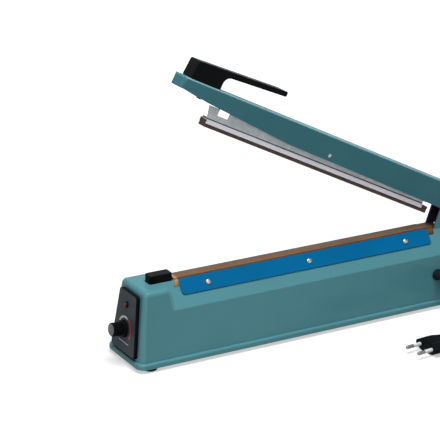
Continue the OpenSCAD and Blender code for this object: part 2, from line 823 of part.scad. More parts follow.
// Control panel: plate, printed film, lamp, potentiometer and knob
module panel_outline(shrink) {
  h = panel_h - 2 * shrink;
  low = panel_bottom_w / 2 - shrink - panel_r;
  high = panel_top_w / 2 - shrink - panel_r;
  translate([0, shrink]) {
    polygon([[-low - panel_r, panel_r], [low + panel_r, panel_r],
      [high + panel_r, h - panel_r], [-high - panel_r, h - panel_r]]);
    polygon([[-low, 0], [low, 0], [high, h], [-high, h]]);
    for (s = [-1, 1]) {
      translate([s * low, panel_r]) circle(panel_r);
      translate([s * high, h - panel_r]) circle(panel_r);
    }
  }
}

module panel_plate(x, t, shrink) {
  on_panel(0) translate([-x - panel_seat, 0, 0]) rotate([90, 0, -90])
    linear_extrude(t) panel_outline(shrink);
}

module panel_holes() {
  on_panel(knob_up) outward() cylinder(r = bush_r + fit, h = 4 * panel_t, center = true);
  on_panel(lamp_up) outward()
    cylinder(r = lamp_d / 2 + lamp_wall + fit, h = 4 * panel_t, center = true);
}

module control_panel() {
  color(plastic_black) placed() difference() {
    panel_plate(0, panel_t, 0);
    panel_holes();
  }
}

module panel_film() {
  color([0.24, 0.25, 0.26]) placed() difference() {
    panel_plate(panel_t, film_t, film_margin);
    panel_holes();
  }
}

module lamp_holder() {
  r = lamp_d / 2 + lamp_wall;
  back = 2 * sheet + lamp_back;
  color(plastic_black) placed() on_panel(lamp_up) outward() difference() {
    union() {
      translate([0, 0, -back]) cylinder(r = r, h = panel_t + back);
      translate([0, 0, panel_front + 0.02]) cylinder(r = r + lamp_wall, h = lamp_wall);
      translate([0, 0, panel_t - cut]) cylinder(r = r, h = panel_front - panel_t + cut + 0.1);
    }
    translate([0, 0, lamp_back / 2 - back]) cylinder(r = lamp_d / 2 + fit, h = back + 2 * panel_t);
  }
}

module lamp_lens() {
  color([0.75, 0.06, 0.05]) placed() on_panel(lamp_up) outward() {
    translate([0, 0, fit - 2 * sheet - lamp_back / 2])
      cylinder(r = lamp_d / 2, h = panel_front + 2 * sheet + lamp_back / 2 + 1);
    translate([0, 0, panel_front + 1]) intersection() {
      sphere(lamp_d / 2);
      cylinder(r = lamp_d, h = lamp_d);
    }
  }
}

module potentiometer() {
  color([0.35, 0.36, 0.38]) placed() on_panel(knob_up) outward() difference() {
    union() {
      translate([0, 0, -pot_back - pot_h]) cylinder(r = pot_r, h = pot_h);
      translate([0, 0, -pot_back - cut]) cylinder(r = bush_r, h = pot_back + cut + bush_out);
      for (i = [-1 : 1])
        translate([-pot_r - lug_pitch, i * lug_pitch - lug[1] / 2, -pot_back - pot_h * 2 / 3]) cube(lug);
    }
    translate([0, 0, -pot_back - pot_bore]) cylinder(r = shaft_r + fit, h = pot_bore + 3 * bush_out);
  }
}

module pot_nut() {
  color(bright_steel) placed() on_panel(knob_up) outward() translate([0, 0, panel_front + 0.02])
    difference() {
      cylinder(r = nut_r, h = nut_h, $fn = 6);
      translate([0, 0, -cut]) cylinder(r = bush_r + fit, h = nut_h + 2 * cut);
    }
}

module pot_shaft() {
  color(bright_steel) placed() on_panel(knob_up) outward()
    translate([0, 0, -shaft_back]) cylinder(r = shaft_r, h = shaft_back + shaft_front);
}

module timer_knob() {
  flute_r = knob_d * 0.05;
  color(plastic_black) placed() on_panel(knob_up) outward() difference() {
    union() {
      translate([0, 0, knob_foot]) cylinder(r = knob_skirt_d / 2, h = skirt_h - 1);
      translate([0, 0, knob_foot + skirt_h - 1])
        cylinder(r1 = knob_skirt_d / 2, r2 = knob_d / 2, h = skirt_slope);
      translate([0, 0, knob_foot]) cylinder(r = knob_d / 2, h = knob_tip - knob_foot - cap_t);
    }
    for (i = [0 : knob_flutes - 1]) rotate([0, 0, 360 * i / knob_flutes])
      translate([knob_d / 2 + flute_r * 0.3, 0, knob_foot + skirt_h + 1])
        cylinder(r = flute_r, h = knob_l, $fn = 16);
    translate([0, 0, knob_foot - cut])
      cylinder(r = nut_r + 2 * seat_gap, h = cut + bush_out - knob_foot + 2 * seat_gap);
    translate([0, 0, knob_foot - cut])
      cylinder(r = shaft_r + 0.01, h = cut + shaft_front - knob_foot + seat_gap);
  }
}

module knob_cap() {
  color([0.45, 0.45, 0.47]) placed() on_panel(knob_up) outward() translate([0, 0, knob_tip - cap_t])
    cylinder(r = knob_d / 2 - cap_margin, h = cap_t);
}

// Timer board on four posts on the base plate, with a relay, capacitors, triac and connector
module timer_board() {
  color([0.1, 0.35, 0.18]) placed() {
    box(board_x, board_half, board_z, board_l, board_t);
    for (x = [board_x + board_post_in, board_x + board_l - board_post_in], s = [-1, 1])
      translate([x, s * (board_half - board_post_in), base_top])
        cylinder(r = board_post_r, h = board_up + board_t / 2);
  }
}

module board_parts() {
  color([0.2, 0.22, 0.3]) placed() translate([board_x, 0, board_z + board_t]) {
    translate([board_l / 7, -relay[1] - 2, 0]) cube(relay);
    translate([board_l / 7, connector[1] / 2, 0]) cube(connector);
    translate([board_l / 2, 2 * triac[1], 0]) cube(triac);
    translate([board_l * 0.57, -big_cap[0] - 2, 0]) cylinder(r = big_cap[0], h = big_cap[1]);
    translate([board_l * 0.8, 2 * small_cap[0], 0]) cylinder(r = small_cap[0], h = small_cap[1]);
  }
}

// Transformer: laminated core, winding through its two windows, strap and screws
module transformer_core() {
  color([0.3, 0.3, 0.32]) placed() difference() {
    box(core_x, core_half, base_top, core_l, core_h);
    for (x = [core_x + core_limb, core_x + core_l - core_limb - core_window])
      box(x, core_half + cut, base_top + core_limb, core_window, core_h - 2 * core_limb);
  }
}

module transformer_winding() {
  l = 2 * core_limb + 2 * core_window - 2 * seat_gap;
  h = core_h - 2 * core_limb - 2 * seat_gap;
  color([0.7, 0.4, 0.2]) placed() difference() {
    box(core_x + core_limb + seat_gap, core_half + winding_out,
      base_top + core_limb + seat_gap, l, h);
    box(core_x + core_limb + core_window - seat_gap, core_half + seat_gap,
      base_top, 2 * core_limb + 2 * seat_gap, core_h);
  }
}

module transformer_strap() {
  color(zinc_grey) placed() difference() {
    union() {
      box(core_x - strap_t, strap_half, base_top, strap_t, core_h + strap_t);
      box(core_x + core_l, strap_half, base_top, strap_t, core_h + strap_t);
      box(core_x, strap_half, base_top + core_h, core_l, strap_t);
      box(core_x - strap_t - strap_foot, strap_half, base_top, strap_foot, strap_t);
      box(core_x + core_l + strap_t, strap_half, base_top, strap_foot, strap_t);
    }
    for (x = strap_screw_x) upright(x, base_top - cut, strap_screw_r + fit, strap_t + 2 * cut);
  }
}

module transformer_screws() {
  color(bright_steel) placed() for (x = strap_screw_x) translate([x, 0, base_top + strap_t])
    pan_screw(screw_head, strap_screw_r, strap_t + base_t);
}

// Switch under the button: bracket below the top sheet, microswitch under it, button and spring
module switch_bracket() {
  color(zinc_grey) placed() difference() {
    union() {
      box(bracket_front, leg_half, bracket_z, plate_l, bracket_t);
      for (y = [-leg_half, leg_half - bracket_t])
        translate([bracket_front, y, bracket_z])
          cube([leg_l, bracket_t, body_h - sheet - fit - bracket_z]);
    }
    upright(stem_x, bracket_z - cut, plunger_r + 0.5, bracket_t + 2 * cut);
  }
}

module microswitch() {
  color(plastic_black) placed() difference() {
    box(stem_x - switch_l / 2, switch_half, bracket_z - switch_h - fit, switch_l, switch_h);
    upright(stem_x, bracket_z - switch_h / 2, plunger_r + fit, switch_h);
  }
  color(brass) placed() for (i = [-1 : 1])
    translate([stem_x + i * tag_pitch - tag[0] / 2, -tag[1] / 2, bracket_z - switch_h + 0.45 - tag[2]])
      cube(tag);
}

module switch_plunger() {
  color([0.8, 0.1, 0.1]) placed()
    upright(stem_x, bracket_z - plunger_down, plunger_r, plunger_down + bracket_t + plunger_up - fit);
}

module switch_button() {
  foot_z = flange_top - button_flange_t;
  color(plastic_black) placed() {
    translate([button_x, 0, foot_z]) linear_extrude(body_h + button_up - foot_z - 1)
      rounded(button_l, button_w, button_r);
    translate([button_x + button_edge, 0, body_h + button_up - 2]) linear_extrude(2)
      rounded(button_l - 2 * button_edge, button_w - 2 * button_edge, button_r - button_edge);
    translate([button_x - button_flange, 0, foot_z]) linear_extrude(button_flange_t)
      rounded(button_l + button_flange - 2 * seat_gap,
        button_w + 2 * button_flange, button_r + button_flange);
    translate([stem_x, 0, bracket_z + bracket_t + plunger_up])
      cylinder(r = stem_r, h = foot_z - bracket_z - bracket_t - plunger_up + cut);
  }
}

module button_spring() {
  low = bracket_z + bracket_t + button_wire / 2 + 0.1;
  high = flange_top - button_flange_t - button_wire / 2 - 0.1;
  color(spring_steel) placed() translate([stem_x, 0, 0])
    tube(helix(stem_r + 1.4, low, high, button_curls), button_wire / 2, 6);
}

function helix(r, low, high, curls) = [
  for (i = [0 : 8 * curls])
    [r * cos(90 + 45 * i), r * sin(90 + 45 * i), low + (high - low) * i / (8 * curls)]];

// Sealing jaw: bar in the trough, insulation, heating strip with its terminals, cloth
module jaw_bar() {
  color(alloy) placed() difference() {
    box(jaw_bar_x, jaw_w / 2, trough_floor, jaw_bar_l, backing_z - trough_floor);
    for (x = jaw_screw_x)
      upright(x, trough_floor - cut, jaw_screw_r + fit, cut + jaw_screw_l + 0.5);
  }
}

module jaw_screws() {
  color(bright_steel) placed() for (x = jaw_screw_x) translate([x, 0, trough_floor - sheet])
    mirror([0, 0, 1]) pan_screw(jaw_head, jaw_screw_r, sheet + jaw_screw_l);
}

module jaw_backing() {
  color([0.85, 0.83, 0.78]) placed()
    box(jaw_bar_x, jaw_w / 2 - 0.8, backing_z, jaw_bar_l, backing_t);
}

module heating_strip() {
  foot = trough_floor + 2;
  color(bright_steel) placed() {
    box(jaw_bar_x - bar_end_gap, element_w / 2, element_z, jaw_bar_l + 2 * bar_end_gap, element_t);
    for (x = [jaw_bar_x - bar_end_gap, jaw_bar_x + jaw_bar_l + bar_end_gap - element_t])
      box(x, element_w / 2, foot, element_t, element_z - foot + element_t / 2);
  }
}

module strip_terminals() {
  in = bar_end_gap - fit;
  color(brass) placed() for (x = [jaw_x + in, jaw_end - terminal_l - in])
    box(x, jaw_w / 2 - 1, trough_floor, terminal_l, jaw_depth - 0.5);
}

// Outline of what the cloth lies on, grown by t
function cloth_edge(t) = [
  [ridge_y + cloth_skirt * cos(slope_angle) + t * sin(slope_angle),
    body_h - cloth_skirt * sin(slope_angle) + t * cos(slope_angle)],
  [ridge_y + t * tan(slope_angle / 2), body_h + t],
  [cloth_half + t, body_h + t],
  [cloth_half + t, cloth_bottom + t]];

module cloth_profile() {
  under = cloth_edge(0.02);
  over = cloth_edge(cloth_t);
  polygon(concat(
    over, [for (i = [3 : -1 : 0]) [-over[i][0], over[i][1]]],
    [for (i = [0 : 3]) [-under[i][0], under[i][1]]], [for (i = [3 : -1 : 0]) under[i]]));
}

module release_cloth() {
  color(cloth_brown) placed() along(cloth_front, cloth_rear - cloth_front) cloth_profile();
}

module clamp_plate(side) {
  color(clamp_blue) placed() on_shoulder(side) difference() {
    translate([clamp_x, (clamp_w - clamp_rise) / 2, clamp_z]) linear_extrude(clamp_t)
      rounded(clamp_l, clamp_w + clamp_rise, clamp_r);
    at_clamp_screws() cylinder(r = clamp_screw_r + 0.2, h = clamp_screw_l, center = true);
  }
}

module clamp_plate_near() { clamp_plate(-1); }

module clamp_plate_far() { clamp_plate(1); }

module clamp_screws() {
  color(bright_steel) placed() for (s = [-1, 1]) on_shoulder(s) at_clamp_screws()
    translate([0, 0, clamp_z + clamp_t]) pan_screw(clamp_head, clamp_screw_r, clamp_screw_l);
}

// Hinge: bracket with two ears on the body's ridge, pin, clip, bush and return spring
module ear_outline() {
  polygon([[bracket_x, body_h], [bracket_x + bracket_l, body_h],
    [hinge_x + ear_r, hinge_z], [hinge_x, hinge_z + ear_r], [bracket_x + ear_rake, hinge_z]]);
  translate([hinge_x, hinge_z]) circle(ear_r);
}

module hinge_bracket() {
  color(teal) placed() difference() {
    union() {
      for (s = [-1, 1]) translate([0, s * (ear_in + ear_t / 2), 0]) side_cut(ear_t) ear_outline();
      box(bracket_x, ear_out, body_h, bracket_l, ear_t);
      box(bracket_x + bracket_l - ear_t, ear_out, body_h, ear_t, stop_z - body_h);
    }
    across(hinge_x, hinge_z, hinge_d / 2 + 0.02, lever_w);
    for (x = bracket_screw_x) upright(x, body_h - cut, bracket_screw_r + fit, ear_t + 2 * cut);
  }
}

module bracket_screws() {
  color(bright_steel) placed() for (x = bracket_screw_x) translate([x, 0, body_h + ear_t])
    pan_screw(screw_head, bracket_screw_r, ear_t + bracket_screw_l);
}

module hinge_pin() {
  end = lever_w / 2 + seat_gap;
  head_r = hinge_d / 2 + pin_head_out;
  color(bright_steel) placed() translate([hinge_x, -end, hinge_z]) rotate([-90, 0, 0]) {
    cylinder(r = hinge_d / 2, h = 2 * end + clip_t + pin_end);
    translate([0, 0, -pin_head_t]) cylinder(r1 = head_r - 1, r2 = head_r, h = pin_head_t / 2);
    translate([0, 0, -pin_head_t / 2]) cylinder(r = head_r, h = pin_head_t / 2);
  }
}

module pin_clip() {
  color(spring_steel) placed() translate([hinge_x, lever_w / 2 + seat_gap, hinge_z]) rotate([-90, 0, 0])
    difference() {
      cylinder(r = hinge_d / 2 + pin_head_out, h = clip_t);
      translate([0, 0, -cut]) cylinder(r = hinge_d / 2 + 0.02, h = clip_t + 2 * cut);
    }
}

module hinge_bush() {
  color(zinc_grey) placed() difference() {
    across(hinge_x, hinge_z, hinge_d / 2 + bush_wall, 2 * (ear_in - 0.1));
    across(hinge_x, hinge_z, hinge_d / 2 + fit, 2 * ear_in);
  }
}

module return_spring() {
  color(spring_steel) placed() translate([hinge_x, 0, hinge_z])
    tube(return_path, return_wire / 2, 6, [0, 1, 0]);
}

// Lever: inverted channel with a rounded nose, and what is fixed to it
module lever_side(t) {
  polygon([[nose_x + t, lever_top - t], [tail_x - t, lever_top - t],
    [tail_x - t, lever_top - tail_depth - 10 * t], [knee_x, lever_top - knee_depth - 10 * t],
    [throat_x, lever_top - throat_depth - 10 * t], [nose_flat, lever_top - nose_depth - 10 * t],
    [nose_x + t, lever_top - nose_depth - 10 * t]]);
}

module lever_plan(t) {
  half = lever_w / 2 - t;
  r = nose_r - t;
  translate([nose_x + t, -half]) {
    translate([r, 0]) square([tail_x - nose_x - 2 * t - r, 2 * half]);
    translate([0, r]) square([2 * r, 2 * (half - r)]);
    for (y = [r, 2 * half - r]) translate([r, y]) circle(r);
  }
}

module lever_section(t) {
  half = lever_w / 2 - t;
  r = lever_edge_r - t;
  translate([-half, lever_top - 2 * tail_depth]) square([2 * half, 2 * tail_depth - t - r]);
  translate([-half + r, lever_top - 2 * tail_depth]) square([2 * (half - r), 2 * tail_depth - t]);
  for (y = [-half + r, half - r]) translate([y, lever_top - t - r]) circle(r);
}

module lever_form(t) {
  intersection() {
    side_cut(lever_w + 2) lever_side(t);
    translate([0, 0, lever_top - 3 * tail_depth]) linear_extrude(4 * tail_depth) lever_plan(t);
    along(nose_x - cut, tail_x - nose_x + 2 * cut) lever_section(t);
  }
}

module lever_arm() {
  color(teal) placed() lever_open() difference() {
    lever_form(0);
    lever_form(lever_t);
    box(tail_x - 2 * lever_t, lever_in, lever_top - 2 * tail_depth, 3 * lever_t,
      2 * tail_depth - (lever_top - hinge_z) + stop_up);
    across(hinge_x, hinge_z, hinge_d / 2 + fit, 2 * lever_w);
    across(hanger_x, hanger_z, hanger_pin_d / 2 + 0.02, 2 * lever_w);
    across(spring_x, seat_rivet_z, rivet_r + fit, 2 * lever_w);
    for (x = handle_screw_x)
      upright(x, lever_top - 3 * lever_t, handle_screw_r + fit, 4 * lever_t);
  }
}

module spring_seat() {
  top = lever_top - lever_t - fit;
  bend = lever_edge_r - lever_t;
  front = spring_x - seat_l / 2;
  foot = seat_rivet_z - seat_leg;
  color(zinc_grey) placed() lever_open() difference() {
    union() {
      box(front, seat_half - bend, top - seat_t, seat_l, seat_t);
      for (s = [-1, 1]) translate([front, s * (seat_half - seat_t / 2) - seat_t / 2, foot])
        cube([seat_l, seat_t, top - bend - foot]);
      box(front, seat_half, top - bend - seat_t, seat_l, seat_t);
      box(front, seat_half - bend, top - bend - seat_t, seat_l, bend);
    }
    across(spring_x, seat_rivet_z, rivet_r + fit, 2 * lever_w);
  }
}

module seat_rivets() {
  color(bright_steel) placed() lever_open() for (s = [0, 1]) mirror([0, s, 0])
    translate([spring_x, lever_w / 2, seat_rivet_z]) rotate([-90, 0, 0]) {
      cylinder(r = rivet_r + rivet_head, h = 0.5);
      cylinder(r = rivet_r + rivet_head / 2, h = 1);
      translate([0, 0, -lever_t - 0.1 - seat_t]) cylinder(r = rivet_r, h = lever_t + seat_t + 0.3);
    }
}

module switch_tab() {
  top = lever_top - lever_t - fit;
  rear = handle_screw_x[1] + tab_lap;
  color(teal) placed() lever_open() difference() {
    union() {
      box(tab_x, tab_half, top - lever_t, rear - tab_x, lever_t);
      box(tab_x, tab_half, tab_z, tab_t, top - tab_z);
    }
    upright(handle_screw_x[1], top - 2 * lever_t, handle_screw_r + fit, 3 * lever_t);
  }
}

function arc(x, z, r, from, to) = [
  for (i = [0 : 8]) let (a = from + (to - from) * i / 8) [x + r * cos(a), z + r * sin(a)]];

module handle_outline() {
  rear = handle_x + handle_l;
  tilt = atan(handle_rise / handle_l);
  front_tilt = atan(handle_lean / handle_h);
  root_x = handle_x + handle_foot + gap_r;
  root_h = handle_h + (root_x - handle_x) * tan(tilt) - grip_root_t;
  rear_h = handle_h + handle_rise;
  polygon(concat(
    [[handle_x, 0]],
    arc(handle_x + handle_lean + grip_r, handle_h - grip_r, grip_r, 180 - front_tilt, 90 + tilt),
    arc(rear - grip_r, rear_h - grip_r, grip_r, 90 + tilt, 0),
    arc(rear - grip_r, rear_h - grip_t + grip_r, grip_r, 0, -90),
    arc(root_x, root_h - gap_r, gap_r, 90, 180),
    [[handle_x + handle_foot, 0]]));
}

module lever_handle() {
  color(plastic_black) placed() lever_open() translate([0, 0, lever_top + fit]) difference() {
    side_cut(handle_w) handle_outline();
    for (x = handle_screw_x) upright(x, -cut, handle_screw_r + fit, cut + handle_hole);
  }
}

module handle_screws() {
  under = [lever_top - lever_t - fit, lever_top - 2 * lever_t - 2 * fit];
  color(bright_steel) placed() lever_open() for (i = [0, 1])
    translate([handle_screw_x[i], 0, under[i]]) mirror([0, 0, 1])
      pan_screw(screw_head, handle_screw_r, lever_top - under[i] + handle_screw_l);
}

// Pressure bar: hanger on its pivot in the lever, bar screwed below, rubber in the bar's slot
module hanger_pin() {
  color(zinc_grey) placed() lever_open() across(hanger_x, hanger_z, hanger_pin_d / 2, lever_w);
}

module web_outline() {
  rear = bar_x + bar_l;
  low = web_z - flange_t / 2;
  difference() {
    union() {
      polygon([[bar_x + web_foot, low], [rear, low], [rear, hanger_z + eye_r], [spring_x, web_mid],
        [bar_x + web_post + web_fall, web_mid], [bar_x + web_post, web_top], [bar_x - web_tip, web_top]]);
      translate([rear - eye_r, hanger_z - eye_r]) square([hanger_x - rear + eye_r, 2 * eye_r]);
      translate([hanger_x, hanger_z]) circle(eye_r);
    }
    translate([window_x, window_z]) square([window_l, web_top - window_z + cut]);
  }
}

module bar_hanger() {
  color(zinc_grey) placed() lever_open() difference() {
    union() {
      translate([0, web_y, 0]) side_cut(web_t) web_outline();
      box(bar_x + flange_in, flange_half, flange_z, bar_l - flange_in, flange_t);
    }
    across(hanger_x, hanger_z, hanger_pin_d / 2 + fit, lever_w);
    for (x = hanger_screw_x) translate([x, hanger_screw_y, flange_z - cut])
      cylinder(r = hanger_screw_r + fit, h = flange_t + 2 * cut);
  }
}

module hanger_screws() {
  color(bright_steel) placed() lever_open() for (x = hanger_screw_x)
    translate([x, hanger_screw_y, web_z]) pan_screw(hanger_head, hanger_screw_r, flange_t + hanger_screw_l);
}

module pressure_bar() {
  color(alloy) placed() lever_open() difference() {
    along(bar_x, bar_l) difference() {
      translate([-bar_w / 2, bar_z]) square([bar_w, bar_h]);
      translate([-slot_half, bar_z + lip_t]) square([2 * slot_half, slot_h]);
      translate([-neck_half, bar_z - cut]) square([2 * neck_half, lip_t + 2 * cut]);
    }
    for (x = hanger_screw_x) translate([x, hanger_screw_y, flange_z - hanger_screw_l - 0.1])
      cylinder(r = hanger_screw_r + fit, h = hanger_screw_l + cut);
  }
}

module rubber_strip() {
  c = 0.04;
  color(rubber_brown) placed() lever_open() along(bar_x - rubber_nose, bar_l + rubber_nose + rubber_tail) {
    translate([-rubber_w / 2, rubber_z]) square([rubber_w, rubber_h - c]);
    translate([c - neck_half, rubber_z + rubber_h - cut]) square([2 * (neck_half - c), lip_t + 2 * cut]);
    translate([c - slot_half, bar_z + lip_t + c]) square([2 * (slot_half - c), slot_h - 2 * c]);
  }
}

module pressure_spring() {
  low = web_z + spring_wire / 2 + 0.15;
  high = lever_top - lever_t - fit - seat_t - spring_wire / 2 - 0.15 - lever_edge_r + lever_t;
  color(spring_steel) placed() lever_open() translate([spring_x, spring_y, 0])
    tube(helix(spring_d / 2, low, high, spring_curls), spring_wire / 2, 6);
}

// Mains lead: gland, lead down to the table, coil with its tie, tail and plug
module on_gland() { translate([gland_x, gland_y, gland_z]) rotate([90 - draft, 0, 0]) children(); }

module cord_gland() {
  color(plastic_black) placed() on_gland() {
    translate([0, 0, -gland_back]) cylinder(r = gland_neck_r, h = gland_back + 1);
    cylinder(r = gland_d / 2, h = gland_collar);
    translate([0, 0, gland_collar - 0.1])
      cylinder(r1 = gland_neck_r, r2 = cord_r + 0.4, h = gland_l + 0.1);
  }
}

module gland_nut() {
  color(plastic_black) placed() on_gland() translate([0, 0, -sheet - gland_nut_t - 0.2]) difference() {
    cylinder(r = gland_neck_r + gland_nut_out, h = gland_nut_t, $fn = 6);
    translate([0, 0, -cut]) cylinder(r = gland_neck_r + fit, h = gland_nut_t + 2 * cut);
  }
}

module cord_lead() { color(plastic_black) placed() tube(laid(lead_route, 3), cord_r, 10); }

module cord_coil() {
  echo(coil_gap = least_gap(coil_path, coil_rings * 3 / 4, cord_d));
  color(plastic_black) placed() tube(coil_path, cord_r, coil_sides, [0, 1, 0]);
}

module cord_tail() { color(plastic_black) placed() tube(laid(tail_route, 3), cord_r, 10); }

module cord_tie() {
  in_y = coil_in - cord_r - tie_gap - climb_dip;
  out_y = coil_out + coil_step * 0.6 + cord_r + tie_gap;
  top = coil_low + coil_step + cord_r + tie_gap;
  color([0.12, 0.12, 0.13]) placed() translate([coil_x, coil_y, 0]) rotate([0, 0, tie_turn])
    difference() {
      translate([-tie_w / 2, in_y - tie_t, 0.02]) cube([tie_w, out_y - in_y + 2 * tie_t, top + tie_t]);
      translate([-tie_w, in_y, tie_t + 0.02]) cube([2 * tie_w, out_y - in_y, top - tie_t - 0.02]);
    }
}

module on_plug() { translate([plug_x, plug_y, plug_z]) rotate([0, 0, plug_yaw]) children(); }

module plug_slice(x, half, high) {
  flat = plug_flat * half;
  side = plug_side * high;
  along(x, slice_t) polygon([
    [-half, -side], [-flat, -high], [flat, -high], [half, -side],
    [half, side], [flat, high], [-flat, high], [-half, side]]);
}

module plug_body() {
  color(plastic_black) placed() on_plug() {
    hull() {
      plug_slice(0, plug_front_half, plug_z - plug_low);
      plug_slice(plug_wide_x, plug_half, plug_z - plug_low);
      plug_slice(plug_l - slice_t, plug_neck_half, plug_neck_h);
    }
    translate([plug_l - 1, 0, 0]) rotate([0, 90, 0])
      cylinder(r1 = boot_r, r2 = cord_r + 0.4, h = plug_boot_l + 1);
  }
}

module pin_sleeves() {
  color([0.82, 0.84, 0.84]) placed() on_plug() for (y = [-pin_pitch / 2, pin_pitch / 2])
    translate([-fit, y, 0]) rotate([0, -90, 0]) difference() {
      cylinder(r = pin_r, h = sleeve_l);
      translate([0, 0, -cut]) cylinder(r = core_r + 0.02, h = sleeve_l + 2 * cut);
    }
}

module plug_pins() {
  color(bright_steel) placed() on_plug() for (y = [-pin_pitch / 2, pin_pitch / 2])
    translate([-fit, y, 0]) rotate([0, -90, 0]) {
      cylinder(r = core_r, h = sleeve_l + 1);
      translate([0, 0, sleeve_l + fit]) cylinder(r = pin_r, h = pin_l - sleeve_l - fit - 1);
      translate([0, 0, pin_l - 1]) cylinder(r1 = pin_r, r2 = pin_r - 0.8, h = 1);
    }
}

body_shell();
base_plate();
base_screws();
rubber_feet();
control_panel();
panel_film();
lamp_holder();
lamp_lens();
potentiometer();
pot_nut();
pot_shaft();
timer_knob();
knob_cap();
timer_board();
board_parts();
transformer_core();
transformer_winding();
transformer_strap();
transformer_screws();
switch_bracket();
microswitch();
switch_plunger();
switch_button();
button_spring();
jaw_bar();
jaw_screws();
jaw_backing();
heating_strip();
strip_terminals();
release_cloth();
clamp_plate_near();
clamp_plate_far();
clamp_screws();
hinge_bracket();
bracket_screws();
hinge_pin();
pin_clip();
hinge_bush();
return_spring();
lever_arm();
spring_seat();
seat_rivets();
switch_tab();
lever_handle();
handle_screws();
hanger_pin();
bar_hanger();
hanger_screws();
pressure_bar();
rubber_strip();
pressure_spring();
cord_gland();
gland_nut();
cord_lead();
cord_coil();
cord_tail();
cord_tie();
plug_body();
plug_pins();
pin_sleeves();
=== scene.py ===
import math

import bmesh
import bpy
from mathutils import Matrix, Vector


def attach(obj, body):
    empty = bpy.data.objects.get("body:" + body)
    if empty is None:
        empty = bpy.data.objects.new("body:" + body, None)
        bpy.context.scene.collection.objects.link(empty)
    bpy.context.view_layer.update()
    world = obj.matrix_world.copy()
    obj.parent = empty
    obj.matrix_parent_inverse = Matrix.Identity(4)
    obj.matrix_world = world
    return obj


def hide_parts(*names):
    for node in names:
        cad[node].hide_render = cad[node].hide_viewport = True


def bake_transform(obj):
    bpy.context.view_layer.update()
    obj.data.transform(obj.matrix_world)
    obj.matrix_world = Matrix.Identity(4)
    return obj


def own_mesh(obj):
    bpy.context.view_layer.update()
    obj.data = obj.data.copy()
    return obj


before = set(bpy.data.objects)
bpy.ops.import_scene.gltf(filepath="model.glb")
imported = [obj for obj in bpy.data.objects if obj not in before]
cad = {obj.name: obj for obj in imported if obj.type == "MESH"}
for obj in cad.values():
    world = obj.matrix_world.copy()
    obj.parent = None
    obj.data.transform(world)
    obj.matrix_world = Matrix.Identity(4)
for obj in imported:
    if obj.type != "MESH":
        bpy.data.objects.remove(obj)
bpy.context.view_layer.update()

scene = bpy.context.scene

# Studio: a pale floor, one large soft box overhead, a small one in front on the left and a dim
# grey room round them. The camera stands where the photographer stood, left of the knob end.
scene.view_settings.view_transform = "Standard"

camera = bpy.data.objects.new("camera", bpy.data.cameras.new("camera"))
camera.data.lens = 174.599
camera.data.sensor_width = 36
camera.location = (-1.13789, -1.78475, 0.92025)
camera.rotation_euler = [math.radians(a) for a in (69.23345, -0.86472, -29.87027)]
scene.collection.objects.link(camera)
scene.camera = camera


def soft_box(name, watts, size, place, aim):
    lamp = bpy.data.lights.new(name, "AREA")
    lamp.shape = "RECTANGLE"
    lamp.size, lamp.size_y = size
    lamp.energy = watts
    holder = bpy.data.objects.new(name, lamp)
    holder.location = place
    holder.rotation_euler = (Vector(aim) - Vector(place)).to_track_quat("-Z", "Y").to_euler()
    scene.collection.objects.link(holder)


soft_box("overhead", watts=21, size=(1.0, 0.8), place=(-0.12, -0.24, 1.34), aim=(0, 0, 0))
soft_box("front", watts=5, size=(0.12, 0.12), place=(-1.0, -1.1, 1.5), aim=(0, 0, 0.1))


def feed(tree, socket, value):
    """A socket gets a plain value, or a link if the value is another socket."""
    if isinstance(value, bpy.types.NodeSocket):
        tree.links.new(value, socket)
    else:
        socket.default_value = value


def maths(tree, operation, *values):
    """The number that a maths node makes of the values; a length or dot is taken of vectors."""
    of_vectors = operation in ("LENGTH", "DOT_PRODUCT")
    node = tree.nodes.new("ShaderNodeVectorMath" if of_vectors else "ShaderNodeMath")
    node.operation = operation
    for socket, value in zip(node.inputs, values):
        feed(tree, socket, value)
    return node.outputs["Value"]


def ranged(tree, source, low, high, to_low=0.0, to_high=1.0):
    """The source's stretch from low to high, mapped on another stretch and held inside it."""
    node = tree.nodes.new("ShaderNodeMapRange")
    for label, value in (("Value", source), ("From Min", low), ("From Max", high),
                         ("To Min", to_low), ("To Max", to_high)):
        feed(tree, node.inputs[label], value)
    return node.outputs["Result"]


def background_rays(tree):
    """One for camera, glossy and transmission rays, nothing for the others."""
    rays = tree.nodes.new("ShaderNodeLightPath").outputs
    straight = maths(tree, "MAXIMUM", rays["Is Camera Ray"], rays["Is Glossy Ray"])
    return maths(tree, "MAXIMUM", straight, rays["Is Transmission Ray"])


room = bpy.data.worlds.new("room")
scene.world = room
room.use_nodes = True
tree = room.node_tree
lit = tree.nodes["Background"]
lit.inputs["Color"].default_value = (0.1, 0.1, 0.1, 1)
seen = tree.nodes.new("ShaderNodeBackground")
seen.inputs["Color"].default_value = (1, 1, 1, 1)
either = tree.nodes.new("ShaderNodeMixShader")
feed(tree, either.inputs["Fac"], background_rays(tree))
feed(tree, either.inputs[1], lit.outputs[0])
feed(tree, either.inputs[2], seen.outputs[0])
feed(tree, tree.nodes["World Output"].inputs["Surface"], either.outputs[0])

floor_half, floor_drop = 6, 0.0002
floor_form = bmesh.new()
bmesh.ops.create_grid(floor_form, x_segments=1, y_segments=1, size=floor_half)
bmesh.ops.translate(floor_form, vec=(0, 0, -floor_drop), verts=floor_form.verts)
floor = bpy.data.objects.new("floor", bpy.data.meshes.new("floor"))
floor_form.to_mesh(floor.data)
floor_form.free()
scene.collection.objects.link(floor)

